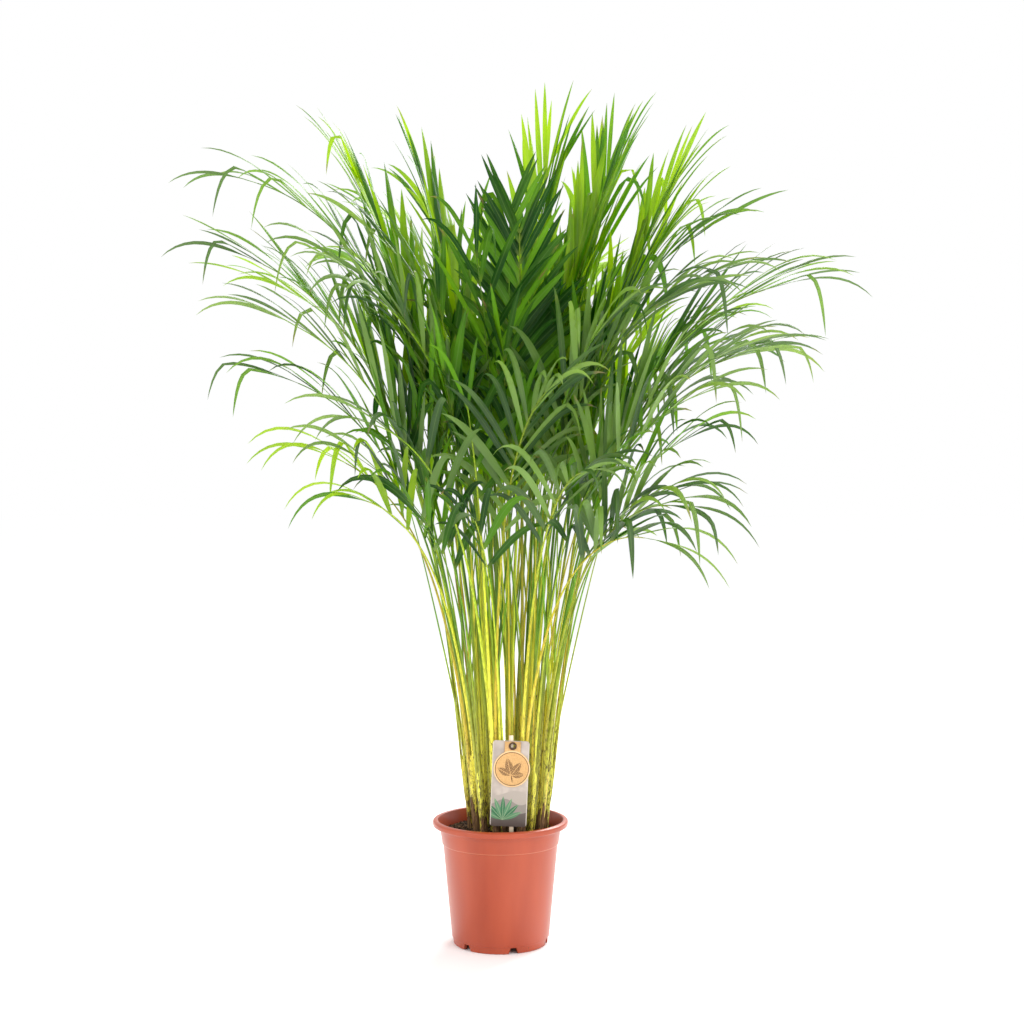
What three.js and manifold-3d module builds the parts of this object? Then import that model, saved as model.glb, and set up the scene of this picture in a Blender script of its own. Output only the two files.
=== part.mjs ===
// A young areca palm in its plastic nursery pot: a clump of seedling palms, each a short sheathed stem with a
// few feather fronds, growing in peat, with a label and a round card tag on a stick in front.
// Millimetres, +Z up, the front is -Y. The origin is the middle of the pot's underside.
import * as THREE from "three";
import { mergeVertices } from "three/addons/utils/BufferGeometryUtils.js";
import Module from "manifold-3d";

const wasm = await Module();
wasm.setup();

const DEG = Math.PI / 180;
const GAP = 0.4; // air left round a piece that stands in or on another

// ---- Driving dimensions -------------------------------------------------------------------------------------
const RIM_RADIUS = 95;
const RIM_HEIGHT = 174;
const WALL = 1.7;
const POT_SIDES = 32;

const SOIL_EDGE = 155; // height of the peat where it meets the pot
const SOIL_MOUND = 9; // how much higher it stands in the middle
const SOIL_SIDES = 24;

const STEM_SIDES = 6;
const STEM_DEPTH = 40; // how far a stem goes down into the peat
const STEM_FOOT_RADIUS = 6;
const STEM_MOUTH_RADIUS = 7.6;
const STEM_TILT = 0.11; // degrees outwards for each millimetre from the middle of the clump
const CLUMP_SHIFT = 10; // the clump grows a little to the right of the pot's middle

const SOCKET_DEPTH = 14; // a leaf stalk's root inside the mouth of its stem's sheath
const SOCKET_RING = 3.9;
const STALK_RADIUS = 2.5;
const RIB_TIP_RADIUS = 1.1;
const LEAFLET_WIDTH = 17; // of the widest, on an upright frond
const LEAFLET_RIDGE = 1.5; // height of a leaflet's fold above its two edges
const LEAFLET_ROOT = 9; // length of rib that a leaflet grows from
const OPEN = 46 * DEG; // between rib and lowest leaflets on a short frond, or one that faces the front
const bareShare = (length) => 0.43 + 0.75 * Math.max(0, 1 - length / 700); // of a frond, below its leaflets

// ---- Solids -------------------------------------------------------------------------------------------------
function solidOf(geometry) {
  const bare = geometry.clone();
  bare.deleteAttribute("normal");
  bare.deleteAttribute("uv");
  const merged = mergeVertices(bare, 1e-4);
  return new wasm.Manifold(
    new wasm.Mesh({
      numProp: 3,
      vertProperties: merged.attributes.position.array,
      triVerts: new Uint32Array(merged.index.array),
    }),
  );
}

function geometryOf(solid) {
  const mesh = solid.getMesh();
  return new THREE.BufferGeometry()
    .setAttribute("position", new THREE.BufferAttribute(mesh.vertProperties, 3))
    .setIndex(new THREE.BufferAttribute(mesh.triVerts, 1));
}

const cut = (geometry, tools) =>
  geometryOf(tools.reduce((left, tool) => left.subtract(solidOf(tool)), solidOf(geometry)));

// The two triangles of a face with the corners a, b, c and d, split along its shorter diagonal.
const halves = (points, [a, b, c, d]) =>
  points[a].distanceTo(points[c]) < points[b].distanceTo(points[d]) + 1e-6
    ? [[a, b, c], [a, c, d]]
    : [[a, b, d], [b, c, d]];

// Collects rings of points and the faces between them into one closed skin. A ring's points run
// anticlockwise about the way that the skin grows.
class Skin {
  points = [];
  faces = [];

  ring(points) {
    const first = this.points.length;
    this.points.push(...points);
    return points.map((_, i) => first + i);
  }

  // Joins two rings, leaving open the sides whose numbers are in open.
  bridge(low, high, open = []) {
    low.forEach((a, i) => {
      if (open.includes(i)) return;
      const j = (i + 1) % low.length;
      this.faces.push(...halves(this.points, [a, low[j], high[j], high[i]]));
    });
  }

  tip(ring, point) {
    const [top] = this.ring([point]);
    ring.forEach((a, i) => this.faces.push([a, ring[(i + 1) % ring.length], top]));
  }

  start(ring) {
    for (let i = 1; i < ring.length - 1; i++) this.faces.push([ring[0], ring[i + 1], ring[i]]);
  }

  end(ring) {
    for (let i = 1; i < ring.length - 1; i++) this.faces.push([ring[0], ring[i], ring[i + 1]]);
  }

  geometry() {
    const geometry = new THREE.BufferGeometry().setFromPoints(this.points);
    geometry.setIndex(this.faces.flat());
    return geometry;
  }
}

// A solid through a row of rings, closed at both ends.
function loft(rings) {
  const skin = new Skin();
  const made = rings.map((points) => skin.ring(points));
  skin.start(made[0]);
  for (let i = 1; i < made.length; i++) skin.bridge(made[i - 1], made[i]);
  skin.end(made.at(-1));
  return skin.geometry();
}

const circle = (sides, radius, z, turn = 0) =>
  Array.from({ length: sides }, (_, i) => {
    const angle = turn + (i / sides) * 2 * Math.PI;
    return new THREE.Vector3(radius * Math.cos(angle), radius * Math.sin(angle), z);
  });

// Turns about +Z a profile of [radius, height] points that runs anticlockwise, with the axis on its left.
function turned(profile, sides) {
  const geometry = new THREE.LatheGeometry(
    profile.map(([radius, height]) => new THREE.Vector2(radius, height)),
    sides,
  );
  return geometry.rotateX(Math.PI / 2);
}

const finish = (color, roughness) => new THREE.MeshStandardMaterial({ color, roughness, metalness: 0 });

const palm = new THREE.Group();

function place(name, geometry, material, parent = palm) {
  const mesh = new THREE.Mesh(geometry, material);
  mesh.name = name;
  parent.add(mesh);
  return mesh;
}

// ---- Pot ----------------------------------------------------------------------------------------------------
const FLOOR = 11; // top of the pot's floor
const FOOT_HEIGHT = 9.4;
const FOOT_INNER = 60;
const PAD_RADIUS = 18; // the middle of the floor comes down to the ground again
const NOTCHES = 6;
const NOTCH_TURN = -74 * DEG;
const NOTCH_HEIGHT = 8.4;
const DRAIN_RADIUS = 4.5;
const DRAIN_RING = 44;

const WALL_OUTSIDE = [
  [66, 0],
  [67.2, FOOT_HEIGHT],
  [68.4, FOOT_HEIGHT + 0.6],
  [80.6, 139.5],
  [82.2, 141],
  [84.4, 157],
];
const LIP = [
  [86.4, 161.8],
  [93.4, 162.8],
  [RIM_RADIUS, 165.4],
  [RIM_RADIUS, 169.6],
  [93, RIM_HEIGHT - 0.6],
  [89.8, RIM_HEIGHT],
  [87.4, 171.6],
];

const wallInside = WALL_OUTSIDE.slice(2).map(([radius, height]) => [radius - WALL, height + 0.6]);

function innerRadius(height) {
  const above = wallInside.findIndex(([, top]) => top >= height);
  const [[r0, z0], [r1, z1]] = [wallInside[above - 1], wallInside[above]];
  return r0 + ((r1 - r0) * (height - z0)) / (z1 - z0);
}

function pot() {
  const profile = [
    [0, 0],
    [PAD_RADIUS, 0],
    [PAD_RADIUS + 3, FLOOR - WALL],
    [FOOT_INNER - 1, FLOOR - WALL],
    [FOOT_INNER, 0],
    ...WALL_OUTSIDE,
    ...LIP,
    ...wallInside.slice(1).toReversed(),
    [innerRadius(FLOOR), FLOOR],
    [0, FLOOR],
  ];
  const tools = [];
  for (let i = 0; i < NOTCHES; i++) {
    const angle = NOTCH_TURN + (i / NOTCHES) * 2 * Math.PI;
    const notch = new THREE.Shape([
      new THREE.Vector2(-9, -1),
      new THREE.Vector2(9, -1),
      new THREE.Vector2(5.5, NOTCH_HEIGHT),
      new THREE.Vector2(-5.5, NOTCH_HEIGHT),
    ]);
    // The notch is drawn across the wall, then pushed out through it.
    const channel = new THREE.ExtrudeGeometry(notch, { depth: 20, bevelEnabled: false })
      .rotateX(Math.PI / 2)
      .rotateZ(Math.PI / 2)
      .translate(FOOT_INNER - 4, 0, 0)
      .rotateZ(angle);
    const drain = new THREE.CylinderGeometry(DRAIN_RADIUS, DRAIN_RADIUS, 3 * WALL, 8)
      .rotateX(Math.PI / 2)
      .translate(DRAIN_RING * Math.cos(angle), DRAIN_RING * Math.sin(angle), FLOOR - WALL / 2);
    tools.push(channel, drain);
  }
  return cut(turned(profile, POT_SIDES), tools);
}

// ---- Peat ---------------------------------------------------------------------------------------------------
const soilRadius = (height) => innerRadius(height) * Math.cos(Math.PI / POT_SIDES) - GAP;

function soilHeight(x, y) {
  const share = Math.min(1, Math.hypot(x, y) / soilRadius(SOIL_EDGE));
  const lumps = 1.3 * Math.sin(x / 9 + 1) * Math.cos(y / 7) + 0.7 * Math.sin((x - y) / 4.6);
  return SOIL_EDGE + SOIL_MOUND * (1 - share ** 2) + lumps * (1 - share ** 6);
}

function soilBody() {
  const heights = [FLOOR + GAP, wallInside[1][1], wallInside[2][1], SOIL_EDGE];
  const rings = heights.map((height) => circle(SOIL_SIDES, soilRadius(height), height));
  for (const share of [0.75, 0.35]) {
    const ring = circle(SOIL_SIDES, share * soilRadius(SOIL_EDGE), 0);
    rings.push(ring.map(({ x, y }) => new THREE.Vector3(x, y, soilHeight(x, y))));
  }
  return loft(rings);
}

// ---- The clump ----------------------------------------------------------------------------------------------
// One entry for each seedling: where its stem stands from the clump's middle, how tall the stem's sheath is, and
// its fronds, in order anticlockwise seen from above. A frond has the compass angle that it leans to (0 right, 90 back,
// 180 left, 270 front), its length from root to last leaflet, its lean from upright at the root and at the tip,
// and the length of its longest leaflet.
const SEEDLINGS = [
  { at: [50, 6], height: 120, fronds: [[-12, 620, 9, 74, 195], [3, 740, 9, 76, 215], [24, 815, 8, 32, 195]] },
  { at: [33, 38], height: 150, fronds: [[15, 740, 9, 38, 165], [46, 790, 7, 22, 215], [100, 770, 8, 62, 200]] },
  { at: [2, 50], height: 140, fronds: [[66, 760, 8, 70, 200], [102, 720, 10, 84, 200], [138, 800, 7, 56, 200]] },
  { at: [-30, 42], height: 160, fronds: [[130, 760, 9, 74, 200], [164, 780, 9, 30, 215], [173, 875, 8, 74, 200]] },
  { at: [-46, 14], height: 130, fronds: [[166, 720, 10, 68, 200], [182, 750, 10, 66, 205], [204, 640, 10, 66, 200]] },
  { at: [-42, -22], height: 110, fronds: [[188, 590, 11, 70, 205], [206, 460, 11, 66, 190], [222, 420, 12, 76, 190]] },
  { at: [-16, -44], height: 120, fronds: [[226, 520, 9, 78, 190], [252, 480, 8, 22, 180], [288, 540, 5, 66, 190]] },
  { at: [18, -42], height: 110, fronds: [[296, 470, 8, 84, 185], [322, 400, 11, 100, 180]] },
  { at: [44, -28], height: 120, fronds: [[326, 430, 11, 94, 190], [332, 540, 9, 68, 195], [342, 630, 9, 78, 200]] },
  { at: [24, 6], height: 200, fronds: [[340, 620, 8, 68, 195], [2, 680, 7, 58, 195], [32, 715, 6, 24, 205]] },
  { at: [2, 22], height: 210, fronds: [[48, 735, 4, 16, 200], [134, 700, 6, 42, 195], [202, 640, 6, 52, 200]] },
  { at: [-22, 8], height: 190, fronds: [[150, 705, 5, 18, 195], [192, 640, 7, 54, 200], [232, 600, 7, 66, 190]] },
  { at: [-10, -16], height: 190, fronds: [[206, 600, 6, 56, 190], [256, 620, 4, 40, 190]] },
  { at: [17, -18], height: 180, fronds: [[262, 650, 3, 12, 205], [304, 560, 7, 56, 190], [330, 600, 7, 64, 195]] },
];

const vary = (seed) => {
  const value = Math.sin(seed * 12.9898 + 78.233) * 43758.5453;
  return value - Math.floor(value);
};
const spread = (seed, reach) => (vary(seed) - 0.5) * 2 * reach;
const mix = (a, b, share) => a + (b - a) * share;
const heading = (lean, azimuth) =>
  new THREE.Vector3(
    Math.sin(lean) * Math.cos(azimuth),
    Math.sin(lean) * Math.sin(azimuth),
    Math.cos(lean),
  );
const shifted = (point, ...moves) =>
  moves.reduce((sum, [direction, distance]) => sum.addScaledVector(direction, distance), point.clone());

// ---- Stems --------------------------------------------------------------------------------------------------
// A stem is the rolled sheaths of a seedling's leaves. It leans away from the middle of the clump.
function stemOf({ at: [x, y], height }) {
  const outward = Math.atan2(y, x);
  const axis = heading(Math.hypot(x, y) * STEM_TILT * DEG, outward);
  const ground = new THREE.Vector3(x + CLUMP_SHIFT, y, SOIL_EDGE + SOIL_MOUND / 2);
  return { ground, axis, height, turn: outward, mouth: shifted(ground, [axis, height]) };
}

function stemBody({ ground, axis, height }, grow = 0) {
  const upright = new THREE.Quaternion().setFromUnitVectors(new THREE.Vector3(0, 0, 1), axis);
  const stations = [
    [-STEM_DEPTH - grow, STEM_FOOT_RADIUS],
    [height * 0.7, STEM_FOOT_RADIUS],
    [height, STEM_MOUTH_RADIUS],
  ];
  return loft(
    stations.map(([along, radius]) =>
      circle(STEM_SIDES, radius + grow, along).map((p) => p.applyQuaternion(upright).add(ground)),
    ),
  );
}

// ---- Fronds -------------------------------------------------------------------------------------------------
const RIB_STEPS = 60;
const LEAFLET_STEPS = 12;

// The line of a frond's stalk and rib, from its root inside the sheath, as evenly spaced points with their frames.
function ribOf({ stem, ...frond }) {
  const { azimuth, length, lean, tip, foot, seed } = frond;
  const sway = spread(seed + 0.1, 9) * DEG;
  const roll = spread(seed + 0.2, 34) * DEG;
  const rib = [];
  const point = foot.clone();
  for (let i = 0; i <= RIB_STEPS; i++) {
    const t = i / RIB_STEPS;
    const turn = azimuth + sway * t * t;
    const own = heading(mix(lean, tip, t ** 3), turn);
    const share = Math.min(1, Math.max(0, (t * length - SOCKET_DEPTH) / (0.25 * length)));
    const along = stem.axis.clone().lerp(own, share * (2 - share)).normalize();
    const flat = new THREE.Vector3(-Math.sin(turn), Math.cos(turn), 0);
    const up = along.clone().cross(flat).normalize();
    const side = up.clone().cross(along);
    const twist = roll * Math.max(0, t - 0.4);
    rib.push({
      point: point.clone(),
      along,
      side: side.clone().multiplyScalar(Math.cos(twist)).addScaledVector(up, Math.sin(twist)),
      up: up.clone().multiplyScalar(Math.cos(twist)).addScaledVector(side, -Math.sin(twist)),
      radius: mix(STALK_RADIUS, RIB_TIP_RADIUS, t),
    });
    point.addScaledVector(along, length / RIB_STEPS);
  }
  return rib;
}

function along(rib, t) {
  const place = Math.min(RIB_STEPS - 1e-6, Math.max(0, t * RIB_STEPS));
  const i = Math.floor(place);
  const share = place - i;
  const [a, b] = [rib[i], rib[i + 1]];
  const blend = (key) => a[key].clone().lerp(b[key], share);
  return {
    point: blend("point"),
    along: blend("along").normalize(),
    side: blend("side").normalize(),
    up: blend("up").normalize(),
    radius: mix(a.radius, b.radius, share),
  };
}

// The four corners of the rib's diamond section: left, ridge, right, under.
const ribRing = ({ point, side, up, radius }, grow = 0) => [
  shifted(point, [side, radius + grow]),
  shifted(point, [up, radius + grow]),
  shifted(point, [side, -radius - grow]),
  shifted(point, [up, -radius - grow]),
];

// Width of a leaflet along its length: drawn in at the root, widest before the middle, then a long point.
const outline = (u) => ((0.35 + 2.6 * u) * (1 - u) ** 0.9) / 0.88;

const rowsOf = ({ length }) => (length > 720 ? 7 : 6);
const rowAt = (frond, row) =>
  mix(bareShare(frond.length), 1 - LEAFLET_ROOT / 2 / frond.length, row / (rowsOf(frond) - 1));

// Where a frond's skin has its rings: along the bare stalk, then before and after each row of leaflets.
function ribStations(frond) {
  const half = LEAFLET_ROOT / 2 / frond.length;
  const rows = Array.from({ length: rowsOf(frond) }, (_, row) => rowAt(frond, row));
  return [0, SOCKET_DEPTH / frond.length, 0.1, 0.2, 0.32, ...rows.flatMap((t) => [t - half, t + half])];
}

// Where one leaflet grows and how it hangs. hand is 1 on the left and -1 on the right.
// Leaflets lie close to the rib of an upright frond, and are slender on one that leans far over to a side.
function leafletPlan(frond, row, hand) {
  const q = row / (rowsOf(frond) - 1);
  const seed = frond.seed + row * 1.7 + hand * 0.31;
  const level = Math.min(1, Math.max(0, (frond.tip / DEG - 25) / 30));
  const facesFront = Math.abs(frond.azimuth - 1.5 * Math.PI) < 23 * DEG;
  const open = facesFront || frond.length < 560 ? OPEN : mix(20, 34, level) * DEG;
  return {
    hand,
    t: rowAt(frond, row),
    length: frond.leaflet * (0.75 + 0.8 * q - 0.8 * q * q) * (1 + spread(seed, 0.1)),
    width: LEAFLET_WIDTH * mix(1, 0.7, Math.abs(Math.cos(frond.azimuth)) * level),
    splay: mix(open, 13 * DEG, q) + spread(seed + 0.4, 5) * DEG,
    rise: (mix(34, 10, q) + spread(seed + 0.6, 10)) * DEG,
    droop: 0.3 + 1.3 * vary(seed + 0.8) + 3.2 * Math.max(0, 1 - frond.length / 720),
  };
}

// A leaflet's middle line and its frames, at evenly spaced points, with a swing added to its plan.
function leafletLine(rib, plan, [splayBy, riseBy, share]) {
  const root = along(rib, plan.t);
  const splay = plan.splay + splayBy;
  const rise = plan.rise + riseBy;
  const out = root.side.clone().multiplyScalar(plan.hand * Math.cos(rise)).addScaledVector(root.up, Math.sin(rise));
  const first = root.along.clone().multiplyScalar(Math.cos(splay)).addScaledVector(out, Math.sin(splay));
  const level = Math.hypot(first.x, first.y);
  const length = plan.length * share;
  const point = shifted(root.point, [root.side, plan.hand * root.radius]);
  const line = [];
  for (let i = 0; i <= LEAFLET_STEPS; i++) {
    const u = i / LEAFLET_STEPS;
    const direction = first.clone().setZ(first.z - plan.droop * level * u ** 2.4).normalize();
    const across = root.along.clone().addScaledVector(direction, -root.along.dot(direction)).normalize();
    const up = direction.clone().cross(across).multiplyScalar(-plan.hand);
    line.push({ point: point.clone(), across, up, width: plan.width * outline(u) * Math.sqrt(length / 200) });
    point.addScaledVector(direction, length / LEAFLET_STEPS);
  }
  return line;
}

// The three corners on the rib that a leaflet's skin grows from.
function leafletRoot(rib, frond, { t, hand }, grow = 0) {
  const half = LEAFLET_ROOT / 2 / frond.length;
  const [left, ridge, right] = ribRing(along(rib, t - half), grow);
  const [farLeft, , farRight] = ribRing(along(rib, t + half), grow);
  return hand > 0 ? [left, ridge, farLeft] : [ridge, right, farRight];
}

// The corners of a leaflet's folded section at its step i, in the order that a ring on its side of the rib needs.
function leafletRing(line, i, hand, grow = 0) {
  const { point, across, up, width } = line[i];
  const half = width / 2 + 1.5 * grow;
  const ridge = shifted(point, [up, LEAFLET_RIDGE * (0.5 + width / LEAFLET_WIDTH / 2) + grow]);
  const base = shifted(point, [up, -grow]);
  const [back, front] = [shifted(base, [across, -half]), shifted(base, [across, half])];
  return hand > 0 ? [back, ridge, front] : [ridge, back, front];
}

const LEAFLET_STATIONS = [4, 8]; // the steps that get a ring, between the root and the tip

// ---- Keeping leaflets clear of each other -------------------------------------------------------------------
const CLEARANCE = 0.45;

// A set of triangles in world space with the box round it.
function obstacle(points, faces, owner) {
  const triangles = faces.map((face) => face.map((i) => points[i]));
  const boxes = triangles.map((triangle) => new THREE.Box3().setFromPoints(triangle));
  return { triangles, boxes, box: new THREE.Box3().setFromPoints(points), owner };
}

const edgeA = new THREE.Vector3();
const edgeB = new THREE.Vector3();
const ray = new THREE.Vector3();
const offset = new THREE.Vector3();
const crossed = new THREE.Vector3();

// True where the line from p to q goes through the triangle.
function pierces(p, q, [a, b, c]) {
  edgeA.subVectors(b, a);
  edgeB.subVectors(c, a);
  ray.subVectors(q, p);
  crossed.crossVectors(ray, edgeB);
  const scale = edgeA.dot(crossed);
  if (Math.abs(scale) < 1e-12) return false;
  offset.subVectors(p, a);
  const u = offset.dot(crossed) / scale;
  if (u < 0 || u > 1) return false;
  crossed.crossVectors(offset, edgeA);
  const v = ray.dot(crossed) / scale;
  if (v < 0 || u + v > 1) return false;
  const w = edgeB.dot(crossed) / scale;
  return w >= 0 && w <= 1;
}

const sides = ([a, b, c]) => [[a, b], [b, c], [c, a]];
const cross = (one, other) =>
  sides(one).some(([p, q]) => pierces(p, q, other)) || sides(other).some(([p, q]) => pierces(p, q, one));

const meet = (one, other) => one.some((p) => other.some((q) => p.distanceToSquared(q) < 1e-8));

// True where a triangle of a crosses one of b. With joined, triangles that share a corner don't count.
function hits(a, b, joined = false) {
  if (!a.box.intersectsBox(b.box)) return false;
  return a.triangles.some(
    (one, i) =>
      a.boxes[i].intersectsBox(b.box) &&
      b.triangles.some(
        (other, j) =>
          a.boxes[i].intersectsBox(b.boxes[j]) && !(joined && meet(one, other)) && cross(one, other),
      ),
  );
}

function tube(rings, owner) {
  const points = rings.flat();
  const corners = rings[0].length;
  const faces = [];
  for (let r = 0; r + 1 < rings.length; r++)
    for (let i = 0; i < corners; i++) {
      const [a, b] = [r * corners + i, r * corners + ((i + 1) % corners)];
      faces.push(...halves(points, [a, b, b + corners, a + corners]));
    }
  return obstacle(points, faces, owner);
}

// The swings that a leaflet tries in turn: none, then wider and wider, then the same on a shorter leaflet.
const SWINGS = [];
for (const share of [1, 0.8, 0.6])
  for (let reach = 0; reach <= 5; reach++)
    for (let way = 0; way < (reach ? 8 : 1); way++)
      SWINGS.push([
        reach * 5 * DEG * Math.cos(way * 45 * DEG),
        reach * 7 * DEG * Math.sin(way * 45 * DEG),
        share,
      ]);

function solidFrom(geometry, owner) {
  const position = geometry.attributes.position;
  const points = Array.from({ length: position.count }, (_, i) => new THREE.Vector3().fromBufferAttribute(position, i));
  const faces = [];
  for (let i = 0; i < geometry.index.count; i += 3) faces.push([0, 1, 2].map((k) => geometry.index.getX(i + k)));
  return obstacle(points, faces, owner);
}

// ---- Growing the clump --------------------------------------------------------------------------------------
const placed = [];
const stems = SEEDLINGS.map(stemOf);
stems.forEach((stem) => placed.push(solidFrom(stemBody(stem), stem)));

const fronds = [];
SEEDLINGS.forEach(({ fronds: listed }, s) => {
  const stem = stems[s];
  const middle = listed.reduce((sum, [azimuth]) => sum + azimuth, 0) / listed.length;
  listed.forEach(([azimuth, length, lean, tip, leaflet], k) => {
    const angle = (stem.turn + (k - (listed.length - 1) / 2) * ((2 * Math.PI) / Math.max(3, listed.length)));
    const foot = shifted(
      stem.mouth,
      [stem.axis, -SOCKET_DEPTH],
      [new THREE.Vector3(Math.cos(angle), Math.sin(angle), 0), SOCKET_RING],
    );
    fronds.push({
      stem,
      foot,
      azimuth: azimuth * DEG,
      length: length + SOCKET_DEPTH,
      lean: lean * DEG,
      tip: tip * DEG,
      leaflet,
      seed: fronds.length * 3.3,
    });
  });
});

for (const frond of fronds) {
  frond.rib = ribOf(frond);
  const bulk = tube(ribStations(frond).map((t) => ribRing(along(frond.rib, t), CLEARANCE)), frond);
  if (placed.some((other) => other.owner !== frond.stem && hits(bulk, other)))
    throw new Error(`stalk ${fronds.indexOf(frond) + 1} crosses another: its entry in SEEDLINGS has to change`);
  placed.push(tube(ribStations(frond).map((t) => ribRing(along(frond.rib, t))), frond));
}

for (const frond of fronds) {
  frond.leaflets = [];
  for (let row = 0; row < rowsOf(frond); row++)
    for (const hand of [1, -1]) {
      const plan = leafletPlan(frond, row, hand);
      const blade = (line, grow) =>
        [...LEAFLET_STATIONS, LEAFLET_STEPS].map((i) => leafletRing(line, i, hand, grow));
      const line = SWINGS.reduce((found, swing) => {
        if (found) return found;
        const tried = leafletLine(frond.rib, plan, swing);
        const free = blade(tried, CLEARANCE);
        const whole = tube([leafletRoot(frond.rib, frond, plan, CLEARANCE), ...free], frond);
        const outer = tube([leafletRing(tried, 1, hand, CLEARANCE), ...free], frond);
        const bare = tube([leafletRoot(frond.rib, frond, plan), ...blade(tried, 0)], frond);
        const clear = !hits(bare, bare, true) && placed.every((other) =>
          other.owner === frond
            ? !hits(bare, other, true) && !(other.leaflet && hits(outer, other))
            : !hits(whole, other),
        );
        return clear ? tried : null;
      }, null);
      if (!line) continue;
      placed.push({ ...tube([leafletRoot(frond.rib, frond, plan), ...blade(line, 0)], frond), leaflet: true });
      frond.leaflets.push({ row, hand, line });
    }
}

// The skin of one frond: a stalk and rib of diamond section, with leaflets raised from its two upper faces.
function frondBody(frond) {
  const skin = new Skin();
  const rings = ribStations(frond).map((t) => skin.ring(ribRing(along(frond.rib, t))));
  const firstRow = rings.length - 2 * rowsOf(frond);
  skin.start(rings[0]);
  for (let i = 1; i < rings.length; i++) {
    const row = (i - firstRow - 1) / 2; // a whole number where a row of leaflets stands before ring i
    const leaflets = frond.leaflets.filter((leaflet) => leaflet.row === row);
    const [low, high] = [rings[i - 1], rings[i]];
    skin.bridge(low, high, leaflets.map(({ hand }) => (hand > 0 ? 0 : 1)));
    for (const { hand, line } of leaflets) {
      const [left, ridge, right] = low;
      const [farLeft, farRidge, farRight] = high;
      skin.faces.push(hand > 0 ? [ridge, farRidge, farLeft] : [ridge, farRight, farRidge]);
      let last = hand > 0 ? [left, ridge, farLeft] : [ridge, right, farRight];
      for (const step of LEAFLET_STATIONS) {
        const next = skin.ring(leafletRing(line, step, hand));
        skin.bridge(last, next);
        last = next;
      }
      skin.tip(last, line.at(-1).point);
    }
  }
  skin.end(rings.at(-1));
  return skin.geometry();
}

// ---- Label, card tag, eyelet and stick ----------------------------------------------------------------------
const LABEL_SIZE = [50, 118];
const LABEL_CORNER = 4;
const LABEL_THICK = 0.8;
const LABEL_AT = [13, -66, 236];
const LABEL_TILT = 2.3 * DEG;
const TAG_RADIUS = 25;
const TAG_DROP = 20.5; // the disc's middle above the label's middle
const TAG_SHIFT = 2.2;
const TAB_WIDTH = 22;
const TAG_THICK = 1;
const EYELET_UP = 52;
const EYELET_HOLE = 2.9;
const EYELET_BARREL = 3.7;
const EYELET_FLANGE = 5.6;
const STICK_SIZE = [6, 1.8];
const STICK_TOP = 302;
const STICK_FOOT = 95;

function plate(shape, thickness, y) {
  return new THREE.ExtrudeGeometry(shape, { depth: thickness, bevelEnabled: false, curveSegments: 4 })
    .rotateX(Math.PI / 2)
    .translate(0, y, 0);
}

function roundedRectangle(width, height, corner) {
  const [x, y] = [width / 2, height / 2];
  const shape = new THREE.Shape();
  shape.absarc(x - corner, y - corner, corner, 0, Math.PI / 2);
  shape.absarc(corner - x, y - corner, corner, Math.PI / 2, Math.PI);
  shape.absarc(corner - x, corner - y, corner, Math.PI, 1.5 * Math.PI);
  shape.absarc(x - corner, corner - y, corner, 1.5 * Math.PI, 2 * Math.PI);
  return shape;
}

const eyeletHole = () => {
  const hole = new THREE.Path();
  hole.absarc(TAG_SHIFT, EYELET_UP, EYELET_BARREL + GAP, 0, 2 * Math.PI, true);
  return hole;
};

function labelPlate() {
  const shape = roundedRectangle(...LABEL_SIZE, LABEL_CORNER);
  shape.holes.push(eyeletHole());
  return plate(shape, LABEL_THICK, 0);
}

function cardTag() {
  const reach = Math.asin(TAB_WIDTH / 2 / TAG_RADIUS);
  const shape = new THREE.Shape();
  shape.moveTo(TAG_SHIFT + TAB_WIDTH / 2, LABEL_SIZE[1] / 2 - 1);
  shape.lineTo(TAG_SHIFT - TAB_WIDTH / 2, LABEL_SIZE[1] / 2 - 1);
  shape.absarc(TAG_SHIFT, TAG_DROP, TAG_RADIUS, Math.PI / 2 + reach, 2.5 * Math.PI - reach);
  shape.holes.push(eyeletHole());
  return new THREE.ExtrudeGeometry(shape, { depth: TAG_THICK, bevelEnabled: false, curveSegments: 14 })
    .rotateX(Math.PI / 2)
    .translate(0, -LABEL_THICK - GAP, 0);
}

function eyelet() {
  const front = LABEL_THICK + TAG_THICK + 2 * GAP;
  const profile = [
    [EYELET_HOLE, 0],
    [EYELET_BARREL, 0],
    [EYELET_BARREL, front],
    [EYELET_FLANGE, front],
    [EYELET_FLANGE - 0.8, front + 1],
    [EYELET_HOLE + 0.6, front + 1],
    [EYELET_HOLE, front + 0.4],
    [EYELET_HOLE, 0],
  ];
  return turned(profile, 12)
    .rotateX(Math.PI / 2)
    .translate(TAG_SHIFT, 0, EYELET_UP);
}

function stickShape(grow) {
  const half = STICK_SIZE[0] / 2 + grow;
  return new THREE.Shape([
    new THREE.Vector2(0, STICK_FOOT - grow),
    new THREE.Vector2(half, STICK_FOOT + 14),
    new THREE.Vector2(half, STICK_TOP),
    new THREE.Vector2(-half, STICK_TOP),
    new THREE.Vector2(-half, STICK_FOOT + 14),
  ]);
}

const stick = (grow = 0) =>
  new THREE.ExtrudeGeometry(stickShape(grow), { depth: STICK_SIZE[1] + 2 * grow, bevelEnabled: false })
    .rotateX(Math.PI / 2)
    .translate(LABEL_AT[0] + TAG_SHIFT, LABEL_AT[1] + GAP + STICK_SIZE[1] + grow, 0);

// ---- Assembly -----------------------------------------------------------------------------------------------
const terracotta = finish(0xc8623f, 0.45);
const peat = finish(0x2c1d15, 0.95);
const sheath = finish(0xb0a63c, 0.5);
const deepLeaf = finish(0x2f6b16, 0.4);
const freshLeaf = finish(0x5c9c24, 0.4);

place("pot", pot(), terracotta);
place("soil", cut(soilBody(), [...stems.map((stem) => stemBody(stem, GAP)), stick(GAP)]), peat);

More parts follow.
